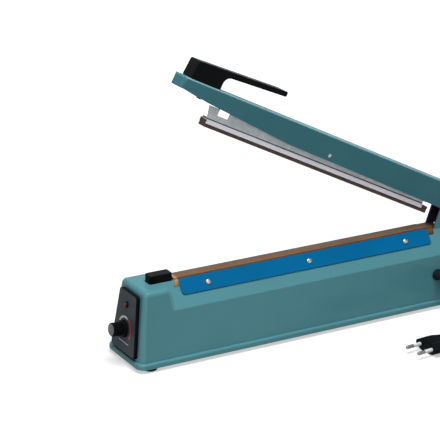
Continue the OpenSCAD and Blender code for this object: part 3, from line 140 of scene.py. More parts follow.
paper = bpy.data.materials.new("white_paper")
paper.use_nodes = True
tree = paper.node_tree
shader = tree.nodes["Principled BSDF"]
shader.inputs["Base Color"].default_value = (0.6, 0.6, 0.6, 1)
shader.inputs["Roughness"].default_value = 1
shader.inputs["Specular IOR Level"].default_value = 0
fade_start, fade_end = 0.3, 1.1
glow_near, glow_far = 0.5, 1.0
away = maths(tree, "LENGTH", tree.nodes.new("ShaderNodeTexCoord").outputs["Object"])
fade = ranged(tree, away, fade_start, fade_end, glow_near, glow_far)
fade.node.interpolation_type = "SMOOTHSTEP"
glow = tree.nodes.new("ShaderNodeEmission")
feed(tree, glow.inputs["Strength"], maths(tree, "MULTIPLY", background_rays(tree), fade))
both = tree.nodes.new("ShaderNodeAddShader")
feed(tree, both.inputs[0], shader.outputs[0])
feed(tree, both.inputs[1], glow.outputs[0])
feed(tree, tree.nodes["Material Output"].inputs["Surface"], both.outputs[0])
floor.data.materials.append(paper)


# Base plate: a galvanised sheet that closes the body from below, held by the screws of the
# feet. Its zinc shows spangles and a fine grain.
def tint(red, green, blue):
    """A colour as it shows on a screen, 0 to 255, as the shader wants it."""
    return tuple(((c / 255 + 0.055) / 1.055) ** 2.4 if c > 10 else c / 3295
                 for c in (red, green, blue)) + (1.0,)


def effect(name, inputs, label, kind):
    """An empty node group: its tree, its inputs by name and the one result that it puts out."""
    tree = bpy.data.node_groups.new(name, "ShaderNodeTree")
    for entry, entry_kind in inputs.items():
        tree.interface.new_socket(entry, in_out="INPUT", socket_type="NodeSocket" + entry_kind)
    tree.interface.new_socket(label, in_out="OUTPUT", socket_type="NodeSocket" + kind)
    given = tree.nodes.new("NodeGroupInput").outputs
    return tree, given, tree.nodes.new("NodeGroupOutput").inputs[label]


def noise(tree, vector, scale, detail=4.0):
    node = tree.nodes.new("ShaderNodeTexNoise")
    for label, value in (("Vector", vector), ("Scale", scale), ("Detail", detail)):
        feed(tree, node.inputs[label], value)
    return node.outputs["Fac"]


def mixed(tree, share, first, second):
    """The first colour where the share is nothing, the second where it is one."""
    node = tree.nodes.new("ShaderNodeMix")
    node.data_type = "RGBA"
    share_in, first_in, second_in, colour_out = 0, 6, 7, 2
    for place, value in ((share_in, share), (first_in, first), (second_in, second)):
        feed(tree, node.inputs[place], value)
    return node.outputs[colour_out]


noise_low, noise_high = 0.3, 0.7

two_tone, given, result = effect(
    "two_tone", {"Vector": "Vector", "Scale": "Float", "First": "Color", "Second": "Color"},
    "Colour", "Color")
patchy = noise(two_tone, given["Vector"], given["Scale"])
patchy = ranged(two_tone, patchy, noise_low, noise_high)
feed(two_tone, result, mixed(two_tone, patchy, given["First"], given["Second"]))

smears, given, result = effect(
    "smears", {"Vector": "Vector", "Scale": "Float", "Low": "Float", "High": "Float"},
    "Roughness", "Float")
smeared = noise(smears, given["Vector"], given["Scale"], detail=6.0)
feed(smears, result,
     ranged(smears, smeared, noise_low, noise_high, given["Low"], given["High"]))

grain, given, result = effect(
    "grain", {"Vector": "Vector", "Scale": "Float"}, "Height", "Float")
feed(grain, result, noise(grain, given["Vector"], given["Scale"], detail=2.0))

rubbed_edges, given, result = effect(
    "rubbed_edges", {"Vector": "Vector", "Radius": "Float", "Share": "Float"}, "Mask", "Float")
rounded = rubbed_edges.nodes.new("ShaderNodeBevel")
rounded.samples = 6
feed(rubbed_edges, rounded.inputs["Radius"], given["Radius"])
true_normal = rubbed_edges.nodes.new("ShaderNodeNewGeometry").outputs["Normal"]
flat_facing, edge_facing = 0.98, 0.8
at_edge = maths(rubbed_edges, "DOT_PRODUCT", rounded.outputs["Normal"], true_normal)
at_edge = ranged(rubbed_edges, at_edge, flat_facing, edge_facing)
rub_scale, rub_low, rub_high = 160.0, 0.35, 0.65
rubs = noise(rubbed_edges, given["Vector"], rub_scale)
rubs = ranged(rubbed_edges, rubs, rub_low, rub_high, 0.0, given["Share"])
feed(rubbed_edges, result, maths(rubbed_edges, "MULTIPLY", at_edge, rubs))


def placed(tree, group, vector, **values):
    """A group in a material's tree, with its own values."""
    node = tree.nodes.new("ShaderNodeGroup")
    node.node_tree = group
    for label, value in dict(values, Vector=vector).items():
        feed(tree, node.inputs[label], value)
    return node.outputs[0]


def bumped(tree, height, depth):
    """The normal of a surface that the height raises by up to depth, in metres."""
    bump = tree.nodes.new("ShaderNodeBump")
    for label, value in (("Strength", 1), ("Distance", depth), ("Height", height)):
        feed(tree, bump.inputs[label], value)
    return bump.outputs["Normal"]


def finish(name, first, second, patches, rough, smear, bumps,
           metal=0.0, gloss=0.5, coat=None, rub=None):
    """A surface of two near tones in patches, with smears between two roughnesses and a grain.

    Patches, smear and the first of bumps are noise scales; the second of bumps is a depth in
    metres. Coat is a weight and a roughness, rub a paler colour, its width and its share."""
    material = bpy.data.materials.new(name)
    material.use_nodes = True
    tree = material.node_tree
    inputs = tree.nodes["Principled BSDF"].inputs
    inputs["Metallic"].default_value = metal
    inputs["Specular IOR Level"].default_value = gloss
    if coat:
        inputs["Coat Weight"].default_value, inputs["Coat Roughness"].default_value = coat
    where = tree.nodes.new("ShaderNodeTexCoord").outputs["Object"]
    colour = placed(tree, two_tone, where, Scale=patches, First=first, Second=second)
    if rub:
        pale, width, share = rub
        rubbed = placed(tree, rubbed_edges, where, Radius=width, Share=share)
        colour = mixed(tree, rubbed, colour, pale)
    feed(tree, inputs["Base Color"], colour)
    low, high = rough
    feed(tree, inputs["Roughness"], placed(tree, smears, where, Scale=smear, Low=low, High=high))
    fineness, depth = bumps
    feed(tree, inputs["Normal"], bumped(tree, placed(tree, grain, where, Scale=fineness), depth))
    return material


zinc = finish("zinc_sheet", tint(168, 174, 177), tint(188, 193, 195), patches=160,
              rough=(0.34, 0.55), smear=90, bumps=(500, 0.00002), metal=0.5)
tree = zinc.node_tree
spangles = tree.nodes.new("ShaderNodeTexVoronoi")
spangles.inputs["Scale"].default_value = 190
spangle_smooth, spangle_rough = 0.3, 0.55
feed(tree, tree.nodes["Principled BSDF"].inputs["Roughness"],
     ranged(tree, spangles.outputs["Color"], 0.0, 1.0, spangle_smooth, spangle_rough))


def dress(node, material):
    """A CAD node that stays as it is gets its finish."""
    cad[node].data.materials.clear()
    cad[node].data.materials.append(material)


dress("base_plate", zinc)


# Rubber feet: four black buttons with a chamfered tread and a deep hole for the screw, which
# clamps foot, base plate and body together.
front_edge = 212.5281


def mm(x, y, z):
    """A point in millimetres, x counted from the rim's front, in the frame's metres."""
    return Vector((x - front_edge, y, z)) / 1000


def turned(outline, place, steps=40):
    """A turned form: radius and height in millimetres, spun about the place's own z axis."""
    form = bmesh.new()
    points = [form.verts.new((r / 1000, 0, h / 1000)) for r, h in outline]
    lines = [form.edges.new(pair) for pair in zip(points, points[1:])]
    bmesh.ops.spin(form, geom=points + lines, cent=(0, 0, 0), axis=(0, 0, 1),
                   angle=2 * math.pi, steps=steps, use_merge=True)
    bmesh.ops.remove_doubles(form, verts=form.verts, dist=1e-6)
    bmesh.ops.recalc_face_normals(form, faces=form.faces)
    form.transform(place)
    return form


def joined(forms):
    """Several forms as one."""
    whole = bmesh.new()
    for form in forms:
        part = bpy.data.meshes.new("part")
        form.to_mesh(part)
        form.free()
        whole.from_mesh(part)
        bpy.data.meshes.remove(part)
    return whole


def piece(name, form, material, body, nodes=(), sharp=32):
    """A form becomes a piece in place of the CAD nodes that it stands for.

    It rides on the body, if one is named; edges above sharp degrees stay crisp."""
    for face in form.faces:
        face.smooth = True
    for edge in form.edges:
        edge.smooth = edge.calc_face_angle(0) < math.radians(sharp)
    mesh = bpy.data.meshes.new(name)
    form.to_mesh(mesh)
    form.free()
    if "custom_normal" in mesh.attributes:
        mesh.attributes.remove(mesh.attributes["custom_normal"])
    mesh.materials.clear()
    mesh.materials.append(material)
    made = bpy.data.objects.new(name, mesh)
    scene.collection.objects.link(made)
    flats = made.modifiers.new("flat_faces", "WEIGHTED_NORMAL")
    flats.keep_sharp = True
    if body:
        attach(made, body)
    if nodes:
        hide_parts(*nodes)
    return made


black_rubber = finish("black_rubber", tint(17, 18, 20), tint(30, 31, 33), patches=60,
                      rough=(0.7, 0.9), smear=120, bumps=(1500, 0.00005), gloss=0.08)
foot_rows, foot_side = (17, 423), 27.5
foot_places = [Matrix.Translation(mm(x, y, 0)) for x in foot_rows for y in (-foot_side, foot_side)]
foot_outline = [(2.05, 2.4), (4.1, 2.4), (4.4, 2.1), (4.4, 0.3), (4.7, 0), (6.8, 0), (7.3, 0.3),
                (8, 1.2), (8, 3.4), (7.7, 3.95), (2.05, 3.95), (2.05, 2.4)]
piece("feet", joined([turned(foot_outline, place) for place in foot_places]), black_rubber,
      "base", ["rubber_feet"])


# Body: one deep-drawn steel shell with a rolled bottom rim, leaning walls, a raised block at
# the knob end and a gabled back. Semi-gloss teal powder coat, a little rubbed at the edges, with a
# painted highlight down its rounded corners.
def merged(node):
    """A CAD node's shape as a copy whose triangles are joined into whole faces."""
    form = bmesh.new()
    form.from_mesh(cad[node].data)
    bmesh.ops.remove_doubles(form, verts=form.verts, dist=3e-6)
    bmesh.ops.dissolve_degenerate(form, dist=1e-6, edges=form.edges)
    bmesh.ops.dissolve_limit(form, angle_limit=math.radians(0.4), verts=form.verts,
                             edges=form.edges, use_dissolve_boundaries=False, delimit=set())
    return form


def rounded_off(form, geometry, width, segments, affect="EDGES"):
    bmesh.ops.bevel(form, geom=geometry, offset=width / 1000, offset_type="OFFSET",
                    affect=affect, segments=segments, profile=0.5, material=-1,
                    clamp_overlap=False)


def softened(form, width, limit=35, segments=2):
    """Outer edges sharper than the limit, in degrees, are rounded by width, in millimetres."""
    edges = [e for e in form.edges
             if len(e.link_faces) == 2 and e.calc_face_angle_signed() > math.radians(limit)]
    rounded_off(form, edges, width, segments)
    return form


def redrawn(name, node, width, material, body):
    """A CAD node with its outer edges rounded by width, as a piece."""
    return piece(name, softened(merged(node), width), material, body, [node])


# Painted highlight: a paler colour on rounded corners, strongest where the surface faces halfway
# between two given directions.
corner_highlight, given, result = effect(
    "corner_highlight",
    {"Vector": "Vector", "From": "Vector", "To": "Vector", "Share": "Float"}, "Mask", "Float")
corner_start, corner_full = 0.2, 0.42
askew = maths(corner_highlight, "MULTIPLY",
              maths(corner_highlight, "DOT_PRODUCT", given["Vector"], given["From"]),
              maths(corner_highlight, "DOT_PRODUCT", given["Vector"], given["To"]))
askew = maths(corner_highlight, "ABSOLUTE", askew)
feed(corner_highlight, result,
     ranged(corner_highlight, askew, corner_start, corner_full, 0.0, given["Share"]))


def overpaint(material, mask, colour):
    """The colour covers the material's own where the mask is one."""
    base = material.node_tree.nodes["Principled BSDF"].inputs["Base Color"]
    own = base.links[0].from_socket
    feed(material.node_tree, base, mixed(material.node_tree, mask, own, colour))


def paint_corner_highlight(material, start, end, colour, share):
    """Painted highlight: a paler colour where a rounded corner turns from the start's direction to
    the end's.
    """
    normal = material.node_tree.nodes.new("ShaderNodeTexCoord").outputs["Normal"]
    mask = placed(material.node_tree, corner_highlight, normal, From=start, To=end, Share=share)
    overpaint(material, mask, colour)


along, across, upward = (1, 0, 0), (0, 1, 0), (0, 0, 1)
teal, deep_teal, pale_teal = tint(80, 138, 147), tint(74, 130, 140), tint(116, 166, 173)
powder_coat = {"patches": 9, "rough": (0.34, 0.46), "smear": 40, "bumps": (900, 0.000025)}
rub_width = 0.0008
teal_paint = finish("teal_paint", teal, deep_teal, **powder_coat, gloss=0.08, coat=(0.15, 0.06),
                    rub=(pale_teal, rub_width, 0.5))
# Painted highlight down the body's rounded upright corners, between front and side.
paint_corner_highlight(teal_paint, along, across, pale_teal, share=0.4)
redrawn("body", "body_shell", 0.3, teal_paint, "base")


# Control panel: a thick black moulded plate on the leaning front wall, with a dark printed
# film let into its face. The film carries a dial scale round the knob and a frame line.
def added(made, kind):
    """What an extrusion made, of one kind."""
    return [g for g in made["geom"] if isinstance(g, kind)]


def closed(form):
    """Open rims get a face, and all faces point outwards."""
    bmesh.ops.holes_fill(form, edges=[e for e in form.edges if e.is_boundary], sides=0)
    bmesh.ops.recalc_face_normals(form, faces=form.faces)
    return form


def thickened(form, depth):
    """A flat form is drawn along depth into a solid one."""
    made = bmesh.ops.extrude_face_region(form, geom=form.faces[:])
    bmesh.ops.translate(form, vec=depth, verts=added(made, bmesh.types.BMVert))
    return closed(form)


def plate(corners, depth, radius):
    """A flat plate: corners in order, thickened along depth; radius rounds each corner."""
    form = bmesh.new()
    points = [form.verts.new(c) for c in corners]
    form.faces.new(points)
    for point, r in zip(points, radius):
        if r:
            rounded_off(form, [point], r, 6, "VERTICES")
    return thickened(form, depth)


def turn(degrees, axis):
    return Matrix.Rotation(math.radians(degrees), 4, axis)


wall_lean = 6.45
half_low, half_high, panel_tall = 25.7, 18.4, 65.31
panel_gap, panel_thick, panel_corner = 0.05, 4, 3.5
film_thick, film_margin = 0.3, 0.8
panel_place = Matrix.Translation(mm(3.2487, 0, 12.2)) @ turn(wall_lean, "Y")


def panel_point(out, side, up):
    return panel_place @ (Vector((-out, side, up)) / 1000)


def panel_depth(thick):
    return panel_point(thick, 0, 0) - panel_point(0, 0, 0)


def panel_plate(out, thick, margin):
    low, high, top = half_low - margin, half_high - margin, panel_tall - margin
    corners = [panel_point(out, side, up)
               for side, up in ((-low, margin), (low, margin), (high, top), (-high, top))]
    return plate(corners, panel_depth(thick), (panel_corner,) * 4)


black_plastic = finish("black_plastic", tint(9, 11, 13), tint(14, 16, 18), patches=50,
                       rough=(0.3, 0.44), smear=70, bumps=(2600, 0.00002), gloss=0.03)
grey_film = finish("grey_film", tint(56, 64, 70), tint(66, 74, 80), patches=45,
                   rough=(0.42, 0.55), smear=90, bumps=(3200, 0.000008), gloss=0.06)
piece("panel", softened(panel_plate(panel_gap, panel_thick, 0), 0.5), black_plastic,
      "base", ["control_panel"])
film = panel_plate(panel_gap + panel_thick, film_thick, film_margin)
piece("film", softened(film, 0.1, segments=1), grey_film, "base", ["panel_film"])

knob_up, lamp_up = 25.309, 51.598
outward = turn(-90, "Y")
knob_place = panel_place @ Matrix.Translation((0, 0, knob_up / 1000)) @ outward
lamp_place = panel_place @ Matrix.Translation((0, 0, lamp_up / 1000)) @ outward
print_out, print_thick = 4.36, 0.06


def band(inner, outer, start, sweep):
    """A printed arc round the knob: radii in millimetres, angles in degrees from straight up.

    Seen from the front, angles run anticlockwise."""
    form = bmesh.new()
    ends = [form.verts.new(turn(start, "Z") @ Vector((r / 1000, 0, print_out / 1000)))
            for r in (inner, outer)]
    line = form.edges.new(ends)
    bmesh.ops.spin(form, geom=ends + [line], cent=(0, 0, 0), axis=(0, 0, 1),
                   angle=math.radians(sweep), steps=24, use_merge=False)
    thickened(form, (0, 0, print_thick / 1000)).transform(knob_place)
    return form


ink = {"patches": 300, "rough": (0.45, 0.6), "smear": 200, "bumps": (3000, 0.000005)}
white_ink = finish("white_ink", tint(196, 199, 200), tint(212, 214, 214), **ink)
red_ink = finish("red_ink", tint(190, 44, 36), tint(172, 36, 32), **ink)
piece("scale_white", band(11.4, 13.6, start=66, sweep=-89), white_ink, "base")
piece("scale_red", band(12.4, 14.4, start=-28, sweep=-98), red_ink, "base")
line_left, line_right, line_low, line_high = 9.4, -11.5, 10.7, 11.5
line_corners = ((line_left, line_low), (line_left, line_high),
                (line_right, line_high), (line_right, line_low))
frame_line = plate([panel_point(print_out, side, up) for side, up in line_corners],
                   panel_depth(print_thick), (0,) * 4)
piece("frame_line", frame_line, white_ink, "base")


# Lamp: a red moulded lens with a domed end, in a black holder that snaps into the panel.
# Both are turned forms on one axis.
red_lens = finish("red_lens", tint(96, 12, 12), tint(80, 10, 11), patches=200,
                  rough=(0.08, 0.16), smear=200, bumps=(900, 0.000004), gloss=0.1,
                  coat=(0.2, 0.05))
holder_outline = [(2.05, 0), (2.8, 0), (2.8, 4.37), (3.6, 4.37), (3.6, 4.9), (3.4, 5.15),
                  (2.2, 5.15), (2.05, 5.0), (2.05, 0)]
piece("lamp_ring", turned(holder_outline, lamp_place), black_plastic, "base",
      ["lamp_holder"])
lens_radius, lens_straight = 2, 5.35
dome = [(lens_radius * math.cos(math.radians(a)),
         lens_straight + lens_radius * math.sin(math.radians(a))) for a in range(10, 90, 10)]
lens_outline = ([(0, 0), (lens_radius, 0), (lens_radius, lens_straight)] + dome
                + [(0, lens_straight + lens_radius)])
piece("lamp", turned(lens_outline, lamp_place), red_lens, "base", ["lamp_lens"])


# Timer knob: black moulding with a round skirt and eighteen flutes, and a satin grey disc
# pressed into its end. It sits on the steel shaft of the timer's potentiometer.
bright_steel = finish("bright_steel", tint(150, 150, 154), tint(168, 168, 171), patches=260,
                      rough=(0.16, 0.3), smear=160, bumps=(1400, 0.000012), metal=1.0)
steel_wire = finish("spring_steel", tint(116, 116, 120), tint(140, 140, 143), patches=260,
                    rough=(0.25, 0.4), smear=160, bumps=(1200, 0.00001), metal=1.0)
grey_disc = finish("grey_plastic", tint(50, 53, 56), tint(60, 63, 66), patches=90,
                   rough=(0.3, 0.42), smear=120, bumps=(2400, 0.00001))
skirt_outline = [(3.05, 4.87), (9.0, 4.87), (9.25, 5.1), (9.25, 7.9), (9.0, 8.3), (7.3, 9.1),
                 (3.05, 9.1), (3.05, 4.87)]
flutes, sides_per_flute = 18, 6
flute_shares = {0: 0.91, 1: 0.935, 5: 0.935}
grip_sides, grip_middle = flutes * sides_per_flute, 0.0142
grip = bmesh.new()
bmesh.ops.create_cone(grip, cap_ends=True, cap_tris=False, segments=grip_sides,
                      radius1=0.00725, radius2=0.00712, depth=0.0111)
for point in grip.verts:
    side = round(math.degrees(math.atan2(point.co.y, point.co.x)) / (360 / grip_sides))
    share = flute_shares.get(side % sides_per_flute, 1)
    point.co.x *= share
    point.co.y *= share
bmesh.ops.translate(grip, vec=(0, 0, grip_middle), verts=grip.verts)
softened(grip, 0.45, limit=60, segments=3)
grip.transform(knob_place)
piece("knob", joined([turned(skirt_outline, knob_place, 72), grip]), black_plastic,
      "knob", ["timer_knob"])
disc_outline = [(0, 19.4), (6.3, 19.4), (6.35, 19.9), (6.1, 20.2), (4, 20.32), (0, 20.35)]
piece("knob_disc", turned(disc_outline, knob_place, 64), grey_disc, "knob",
      ["knob_cap"])
dress("pot_shaft", bright_steel)
dress("pot_nut", bright_steel)
dress("potentiometer", zinc)


# Works inside the body: the timer's circuit board on its posts, the transformer in its strap
# and the microswitch under its bracket, closed in by shell and base plate. The jaw's bar and
# heating strip lie under the cloth.
board_green = finish("board_green", tint(28, 92, 52), tint(36, 108, 62), patches=200,
                     rough=(0.25, 0.4), smear=160, bumps=(1500, 0.00001))
parts_dark = finish("parts_dark", tint(50, 54, 70), tint(66, 68, 82), patches=90,
                    rough=(0.35, 0.5), smear=120, bumps=(1500, 0.00001))
core_iron = finish("core_iron", tint(72, 72, 76), tint(94, 92, 92), patches=300,
                   rough=(0.45, 0.65), smear=140, bumps=(700, 0.00004), metal=0.7)
winding_wire = finish("winding_wire", tint(172, 98, 52), tint(190, 116, 66), patches=700,
                      rough=(0.25, 0.4), smear=160, bumps=(900, 0.00012), metal=0.9)
brass_parts = finish("brass_parts", tint(188, 152, 84), tint(204, 170, 100), patches=200,
                     rough=(0.25, 0.4), smear=140, bumps=(1200, 0.00001), metal=1.0)
red_plastic = finish("red_plastic", tint(196, 36, 32), tint(180, 28, 28), patches=200,
                     rough=(0.35, 0.45), smear=140, bumps=(2000, 0.00001))
alloy = finish("alloy", tint(210, 209, 217), tint(217, 216, 224), patches=60,
               rough=(0.36, 0.48), smear=70, bumps=(1100, 0.00001), metal=0.25)
insulation = finish("insulation", tint(214, 208, 194), tint(226, 221, 208), patches=300,
                    rough=(0.6, 0.8), smear=160, bumps=(1400, 0.00004))
for node, material in {
    "timer_board": board_green, "board_parts": parts_dark, "transformer_core": core_iron,
    "transformer_winding": winding_wire, "transformer_strap": zinc,
    "transformer_screws": bright_steel, "switch_bracket": zinc, "microswitch": black_plastic,
    "switch_plunger": red_plastic, "jaw_bar": alloy, "jaw_screws": bright_steel,
    "jaw_backing": insulation, "heating_strip": bright_steel, "strip_terminals": brass_parts,
    "base_screws": bright_steel,
}.items():
    dress(node, material)


# Switch button: a black block with rounded ends that stands out of a slot in the block's top
# and is held down from inside by its flange. A small spring under it lifts it again.
button_x, button_middle = 41.3, 85.85
button = bmesh.new()
bmesh.ops.create_cube(button, size=1)
bmesh.ops.scale(button, vec=(0.026, 0.0124, 0.0123), verts=button.verts)
upright = [e for e in button.edges if abs(e.verts[0].co.z - e.verts[1].co.z) > 0.01]
rounded_off(button, upright, width=2, segments=8)
top_rim = [e for e in button.edges if min(v.co.z for v in e.verts) > 0.006]
rounded_off(button, top_rim, width=0.9, segments=4)
bmesh.ops.translate(button, vec=mm(button_x, 0, button_middle), verts=button.verts)
flange_front, flange_rear, flange_side, flange_low = 27.1, 53.7, 7.4, 79.7
flange_corners = ((flange_front, -flange_side), (flange_rear, -flange_side),
                  (flange_rear, flange_side), (flange_front, flange_side))
button_flange = plate([mm(x, y, flange_low) for x, y in flange_corners], (0, 0, 0.0021),
                      (3.2, 2.6, 2.6, 3.2))
button_axis = Matrix.Translation(mm(button_x, 0, 0))
button_stem = turned([(0, 73.25), (2.7, 73.25), (3, 73.5), (3, 80), (0, 80)], button_axis)
piece("button", joined([button, button_flange, button_stem]), black_plastic,
      "button", ["switch_button"])


def round_line(name, points, radius, roundness):
    """A round line through its points, as a curve; radius in metres."""
    line = bpy.data.curves.new(name, "CURVE")
    line.dimensions = "3D"
    line.bevel_depth = radius
    line.bevel_resolution = roundness
    line.use_fill_caps = True
    spline = line.splines.new("POLY")
    spline.points.add(len(points) - 1)
    for spot, point in zip(spline.points, points):
        spot.co = (*point, 1)
    spline.use_smooth = True
    drawn = bpy.data.objects.new(name, line)
    scene.collection.objects.link(drawn)
    return drawn


def wire(name, points, radius, body, nodes):
    """A spring of round wire along its points, as a mesh."""
    drawn = round_line(name + "_line", points, radius, 3)
    form = bmesh.new()
    form.from_mesh(drawn.to_mesh())
    bpy.data.objects.remove(drawn)
    bmesh.ops.remove_doubles(form, verts=form.verts, dist=1e-7)
    bmesh.ops.recalc_face_normals(form, faces=form.faces)
    return piece(name, form, steel_wire, body, nodes, sharp=60)


def helix(radius, low, high, curls, middle):
    """Points of a coil that starts at its far side."""
    steps = 24
    turns = [2 * math.pi * i / steps for i in range(steps * curls + 1)]
    return [middle @ (Vector((-radius * math.sin(t), radius * math.cos(t),
                              low + (high - low) * t / turns[-1])) / 1000) for t in turns]


button_curls = helix(radius=4.4, low=70.7, high=79.2, curls=3, middle=button_axis)
button_coil = wire("button_coil", button_curls, 0.0004, "base", ["button_spring"])
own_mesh(button_coil)


# Release cloth: a strip of brown coated glass cloth drawn over the heating strip and jaw,
# its long edges lying down both shoulders under the clamp plates.
cloth_brown = bpy.data.materials.new("release_cloth")
cloth_brown.use_nodes = True
tree = cloth_brown.node_tree
shader = tree.nodes["Principled BSDF"]
shader.inputs["Specular IOR Level"].default_value = 0.08
threads = tree.nodes.new("ShaderNodeTexCoord").outputs["UV"]
waves = []
for direction in "XY":
    wave = tree.nodes.new("ShaderNodeTexWave")
    wave.bands_direction = direction
    wave.inputs["Scale"].default_value = 330
    feed(tree, wave.inputs["Vector"], threads)
    waves.append(wave.outputs["Fac"])
weave = maths(tree, "MULTIPLY", *waves)
browned = placed(tree, two_tone, threads, Scale=26.0, First=tint(116, 84, 52),
                 Second=tint(98, 68, 40))
lengthwise = tree.nodes.new("ShaderNodeSeparateXYZ")
feed(tree, lengthwise.inputs[0], threads)
# The cloth is paler over its first few millimetres at the front end.
pale_end, brown_start = -0.1540, -0.1520
pale_front = ranged(tree, lengthwise.outputs["X"], pale_end, brown_start, 1.0, 0.0)
browned = mixed(tree, pale_front, browned, tint(176, 136, 92))
woven = mixed(tree, ranged(tree, weave, 0.0, 1.0, 0.0, 0.35), browned, tint(150, 114, 74))
feed(tree, shader.inputs["Base Color"], woven)
feed(tree, shader.inputs["Roughness"],
     placed(tree, smears, threads, Scale=60.0, Low=0.35, High=0.5))
feed(tree, shader.inputs["Normal"], bumped(tree, weave, 0.00005))

slope = math.radians(48.8349)
ridge_half, ridge_top, jaw_half, jaw_top = 8.3, 83.5, 6.5, 85.4
skirt, lift = 6.6, 0.17
cloth_front, skirt_front, cloth_long, cloth_steps = 55.3, 52.9, 0.3246, 110
fold = [(ridge_half + skirt * math.cos(slope) + lift * math.sin(slope),
         ridge_top - skirt * math.sin(slope) + lift * math.cos(slope)),
        (ridge_half + lift * math.tan(slope / 2), ridge_top + lift),
        (jaw_half + lift, ridge_top + lift), (jaw_half + lift, jaw_top + lift)]
fold = fold + [(-y, z) for y, z in reversed(fold)]
cloth = bmesh.new()
edge_points = [cloth.verts.new(mm(cloth_front if abs(y) < 9 else skirt_front, y, z))
               for y, z in fold]
edge_lines = [cloth.edges.new(pair) for pair in zip(edge_points, edge_points[1:])]
for step in range(cloth_steps):
    made = bmesh.ops.extrude_edge_only(cloth, edges=edge_lines)
    edge_lines = added(made, bmesh.types.BMEdge)
    bmesh.ops.translate(cloth, vec=(cloth_long / cloth_steps, 0, 0),
                        verts=added(made, bmesh.types.BMVert))
folds = [e for e in cloth.edges if len(e.link_faces) == 2 and e.calc_face_angle() > 0.3]
rounded_off(cloth, folds, width=0.45, segments=3)
bmesh.ops.recalc_face_normals(cloth, faces=cloth.faces)
if sum(f.normal.z for f in cloth.faces) < 0:
    bmesh.ops.reverse_faces(cloth, faces=cloth.faces)
laid = cloth.loops.layers.uv.new("weave")
for face in cloth.faces:
    for corner in face.loops:
        spot = corner.vert.co
        corner[laid].uv = (spot.x, spot.y * 1.2)
cloth_piece = piece("cloth", cloth, cloth_brown, "base", ["release_cloth"],
                    sharp=80)
thick = cloth_piece.modifiers.new("thickness", "SOLIDIFY")
thick.thickness = 0.00026
thick.offset = 0


# Clamp plates: two blue painted steel strips screwed down the shoulders over the cloth's
# edges, three bright pan-head screws each.
blue_paint = finish("blue_paint", tint(1, 103, 154), tint(1, 96, 145), patches=14,
                    rough=(0.3, 0.42), smear=60, bumps=(1000, 0.00002), gloss=0.03,
                    coat=(0.03, 0.1), rub=(tint(70, 150, 200), 0.0006, 0.5))
far_shoulder = (Matrix.Translation(mm(front_edge, ridge_half, ridge_top))
                @ Matrix.Rotation(-slope, 4, "X"))
near_shoulder = Matrix.Scale(-1, 4, (0, 1, 0)) @ far_shoulder
clamp_front, clamp_rear, clamp_high, clamp_low = 59.2, 370.4, -1.2, 17
clamp_gap, clamp_thick, clamp_corner = 0.35, 1, 3.5


def clamp_plate(shoulder):
    outline = ((clamp_front, clamp_high), (clamp_rear, clamp_high),
               (clamp_rear, clamp_low), (clamp_front, clamp_low))
    corners = [shoulder @ mm(x, down, clamp_gap) for x, down in outline]
    depth = shoulder @ mm(0, 0, clamp_thick) - shoulder @ mm(0, 0, 0)
    return softened(plate(corners, depth, (clamp_corner,) * 4), 0.28, segments=3)


piece("clamp_near", clamp_plate(near_shoulder), blue_paint, "base",
      ["clamp_plate_near"])
piece("clamp_far", clamp_plate(far_shoulder), blue_paint, "base",
      ["clamp_plate_far"])


def carved(form, cutter):
    """The form less the cutter."""
    things = []
    for name, shape in (("carved", form), ("cutter", cutter)):
        mesh = bpy.data.meshes.new(name)
        shape.to_mesh(mesh)
        shape.free()
        things.append(bpy.data.objects.new(name, mesh))
        scene.collection.objects.link(things[-1])
    cut = things[0].modifiers.new("cut", "BOOLEAN")
    cut.operation = "DIFFERENCE"
    cut.object = things[1]
    bpy.context.view_layer.update()
    left = bmesh.new()
    left.from_mesh(things[0].evaluated_get(bpy.context.evaluated_depsgraph_get()).to_mesh())
    for thing in things:
        bpy.data.objects.remove(thing)
    return left


def pan_screw(radius, height, shank, length):
    """A pan-head screw with a cross recess: its head stands on z = 0, its shank runs down."""
    domed = [(0, 1), (0.35, 0.985), (0.62, 0.9), (0.82, 0.72), (0.95, 0.4), (1, 0.12), (0.97, 0)]
    outline = [(radius * r, height * h) for r, h in domed]
    outline += [(shank, 0), (shank, -length), (0, -length)]
    head = turned(outline, Matrix.Identity(4), 32)
    arm_long, arm_wide, arm_up = 1.1, 0.26, 0.95
    for angle in (25, 115):
        arm = bmesh.new()
        bmesh.ops.create_cube(arm, size=1)
        arm_size = Vector((arm_long * radius, arm_wide * radius, height)) / 1000
        bmesh.ops.scale(arm, vec=arm_size, verts=arm.verts)
        bmesh.ops.translate(arm, vec=(0, 0, arm_up * height / 1000), verts=arm.verts)
        arm.transform(turn(angle, "Z"))
        head = carved(head, arm)
    return head


def screws(name, pattern, places, body, nodes):
    """Copies of one screw, each in its place, as one piece."""
    forms = []
    for place in places:
        form = pattern.copy()
        form.transform(place)
        bmesh.ops.recalc_face_normals(form, faces=form.faces)
        forms.append(form)
    pattern.free()
    return piece(name, joined(forms), bright_steel, body, nodes)


clamp_middle, clamp_step, clamp_row, clamp_top = 214.8, 123.391, 8.5, 1.35
clamp_spots = [clamp_middle + i * clamp_step for i in (-1, 0, 1)]
screws("clamp_screw_heads", pan_screw(radius=3.2, height=2.2, shank=1.6, length=6),
       [shoulder @ Matrix.Translation(mm(x, clamp_row, clamp_top))
        for shoulder in (near_shoulder, far_shoulder) for x in clamp_spots],
       "base", ["clamp_screws"])


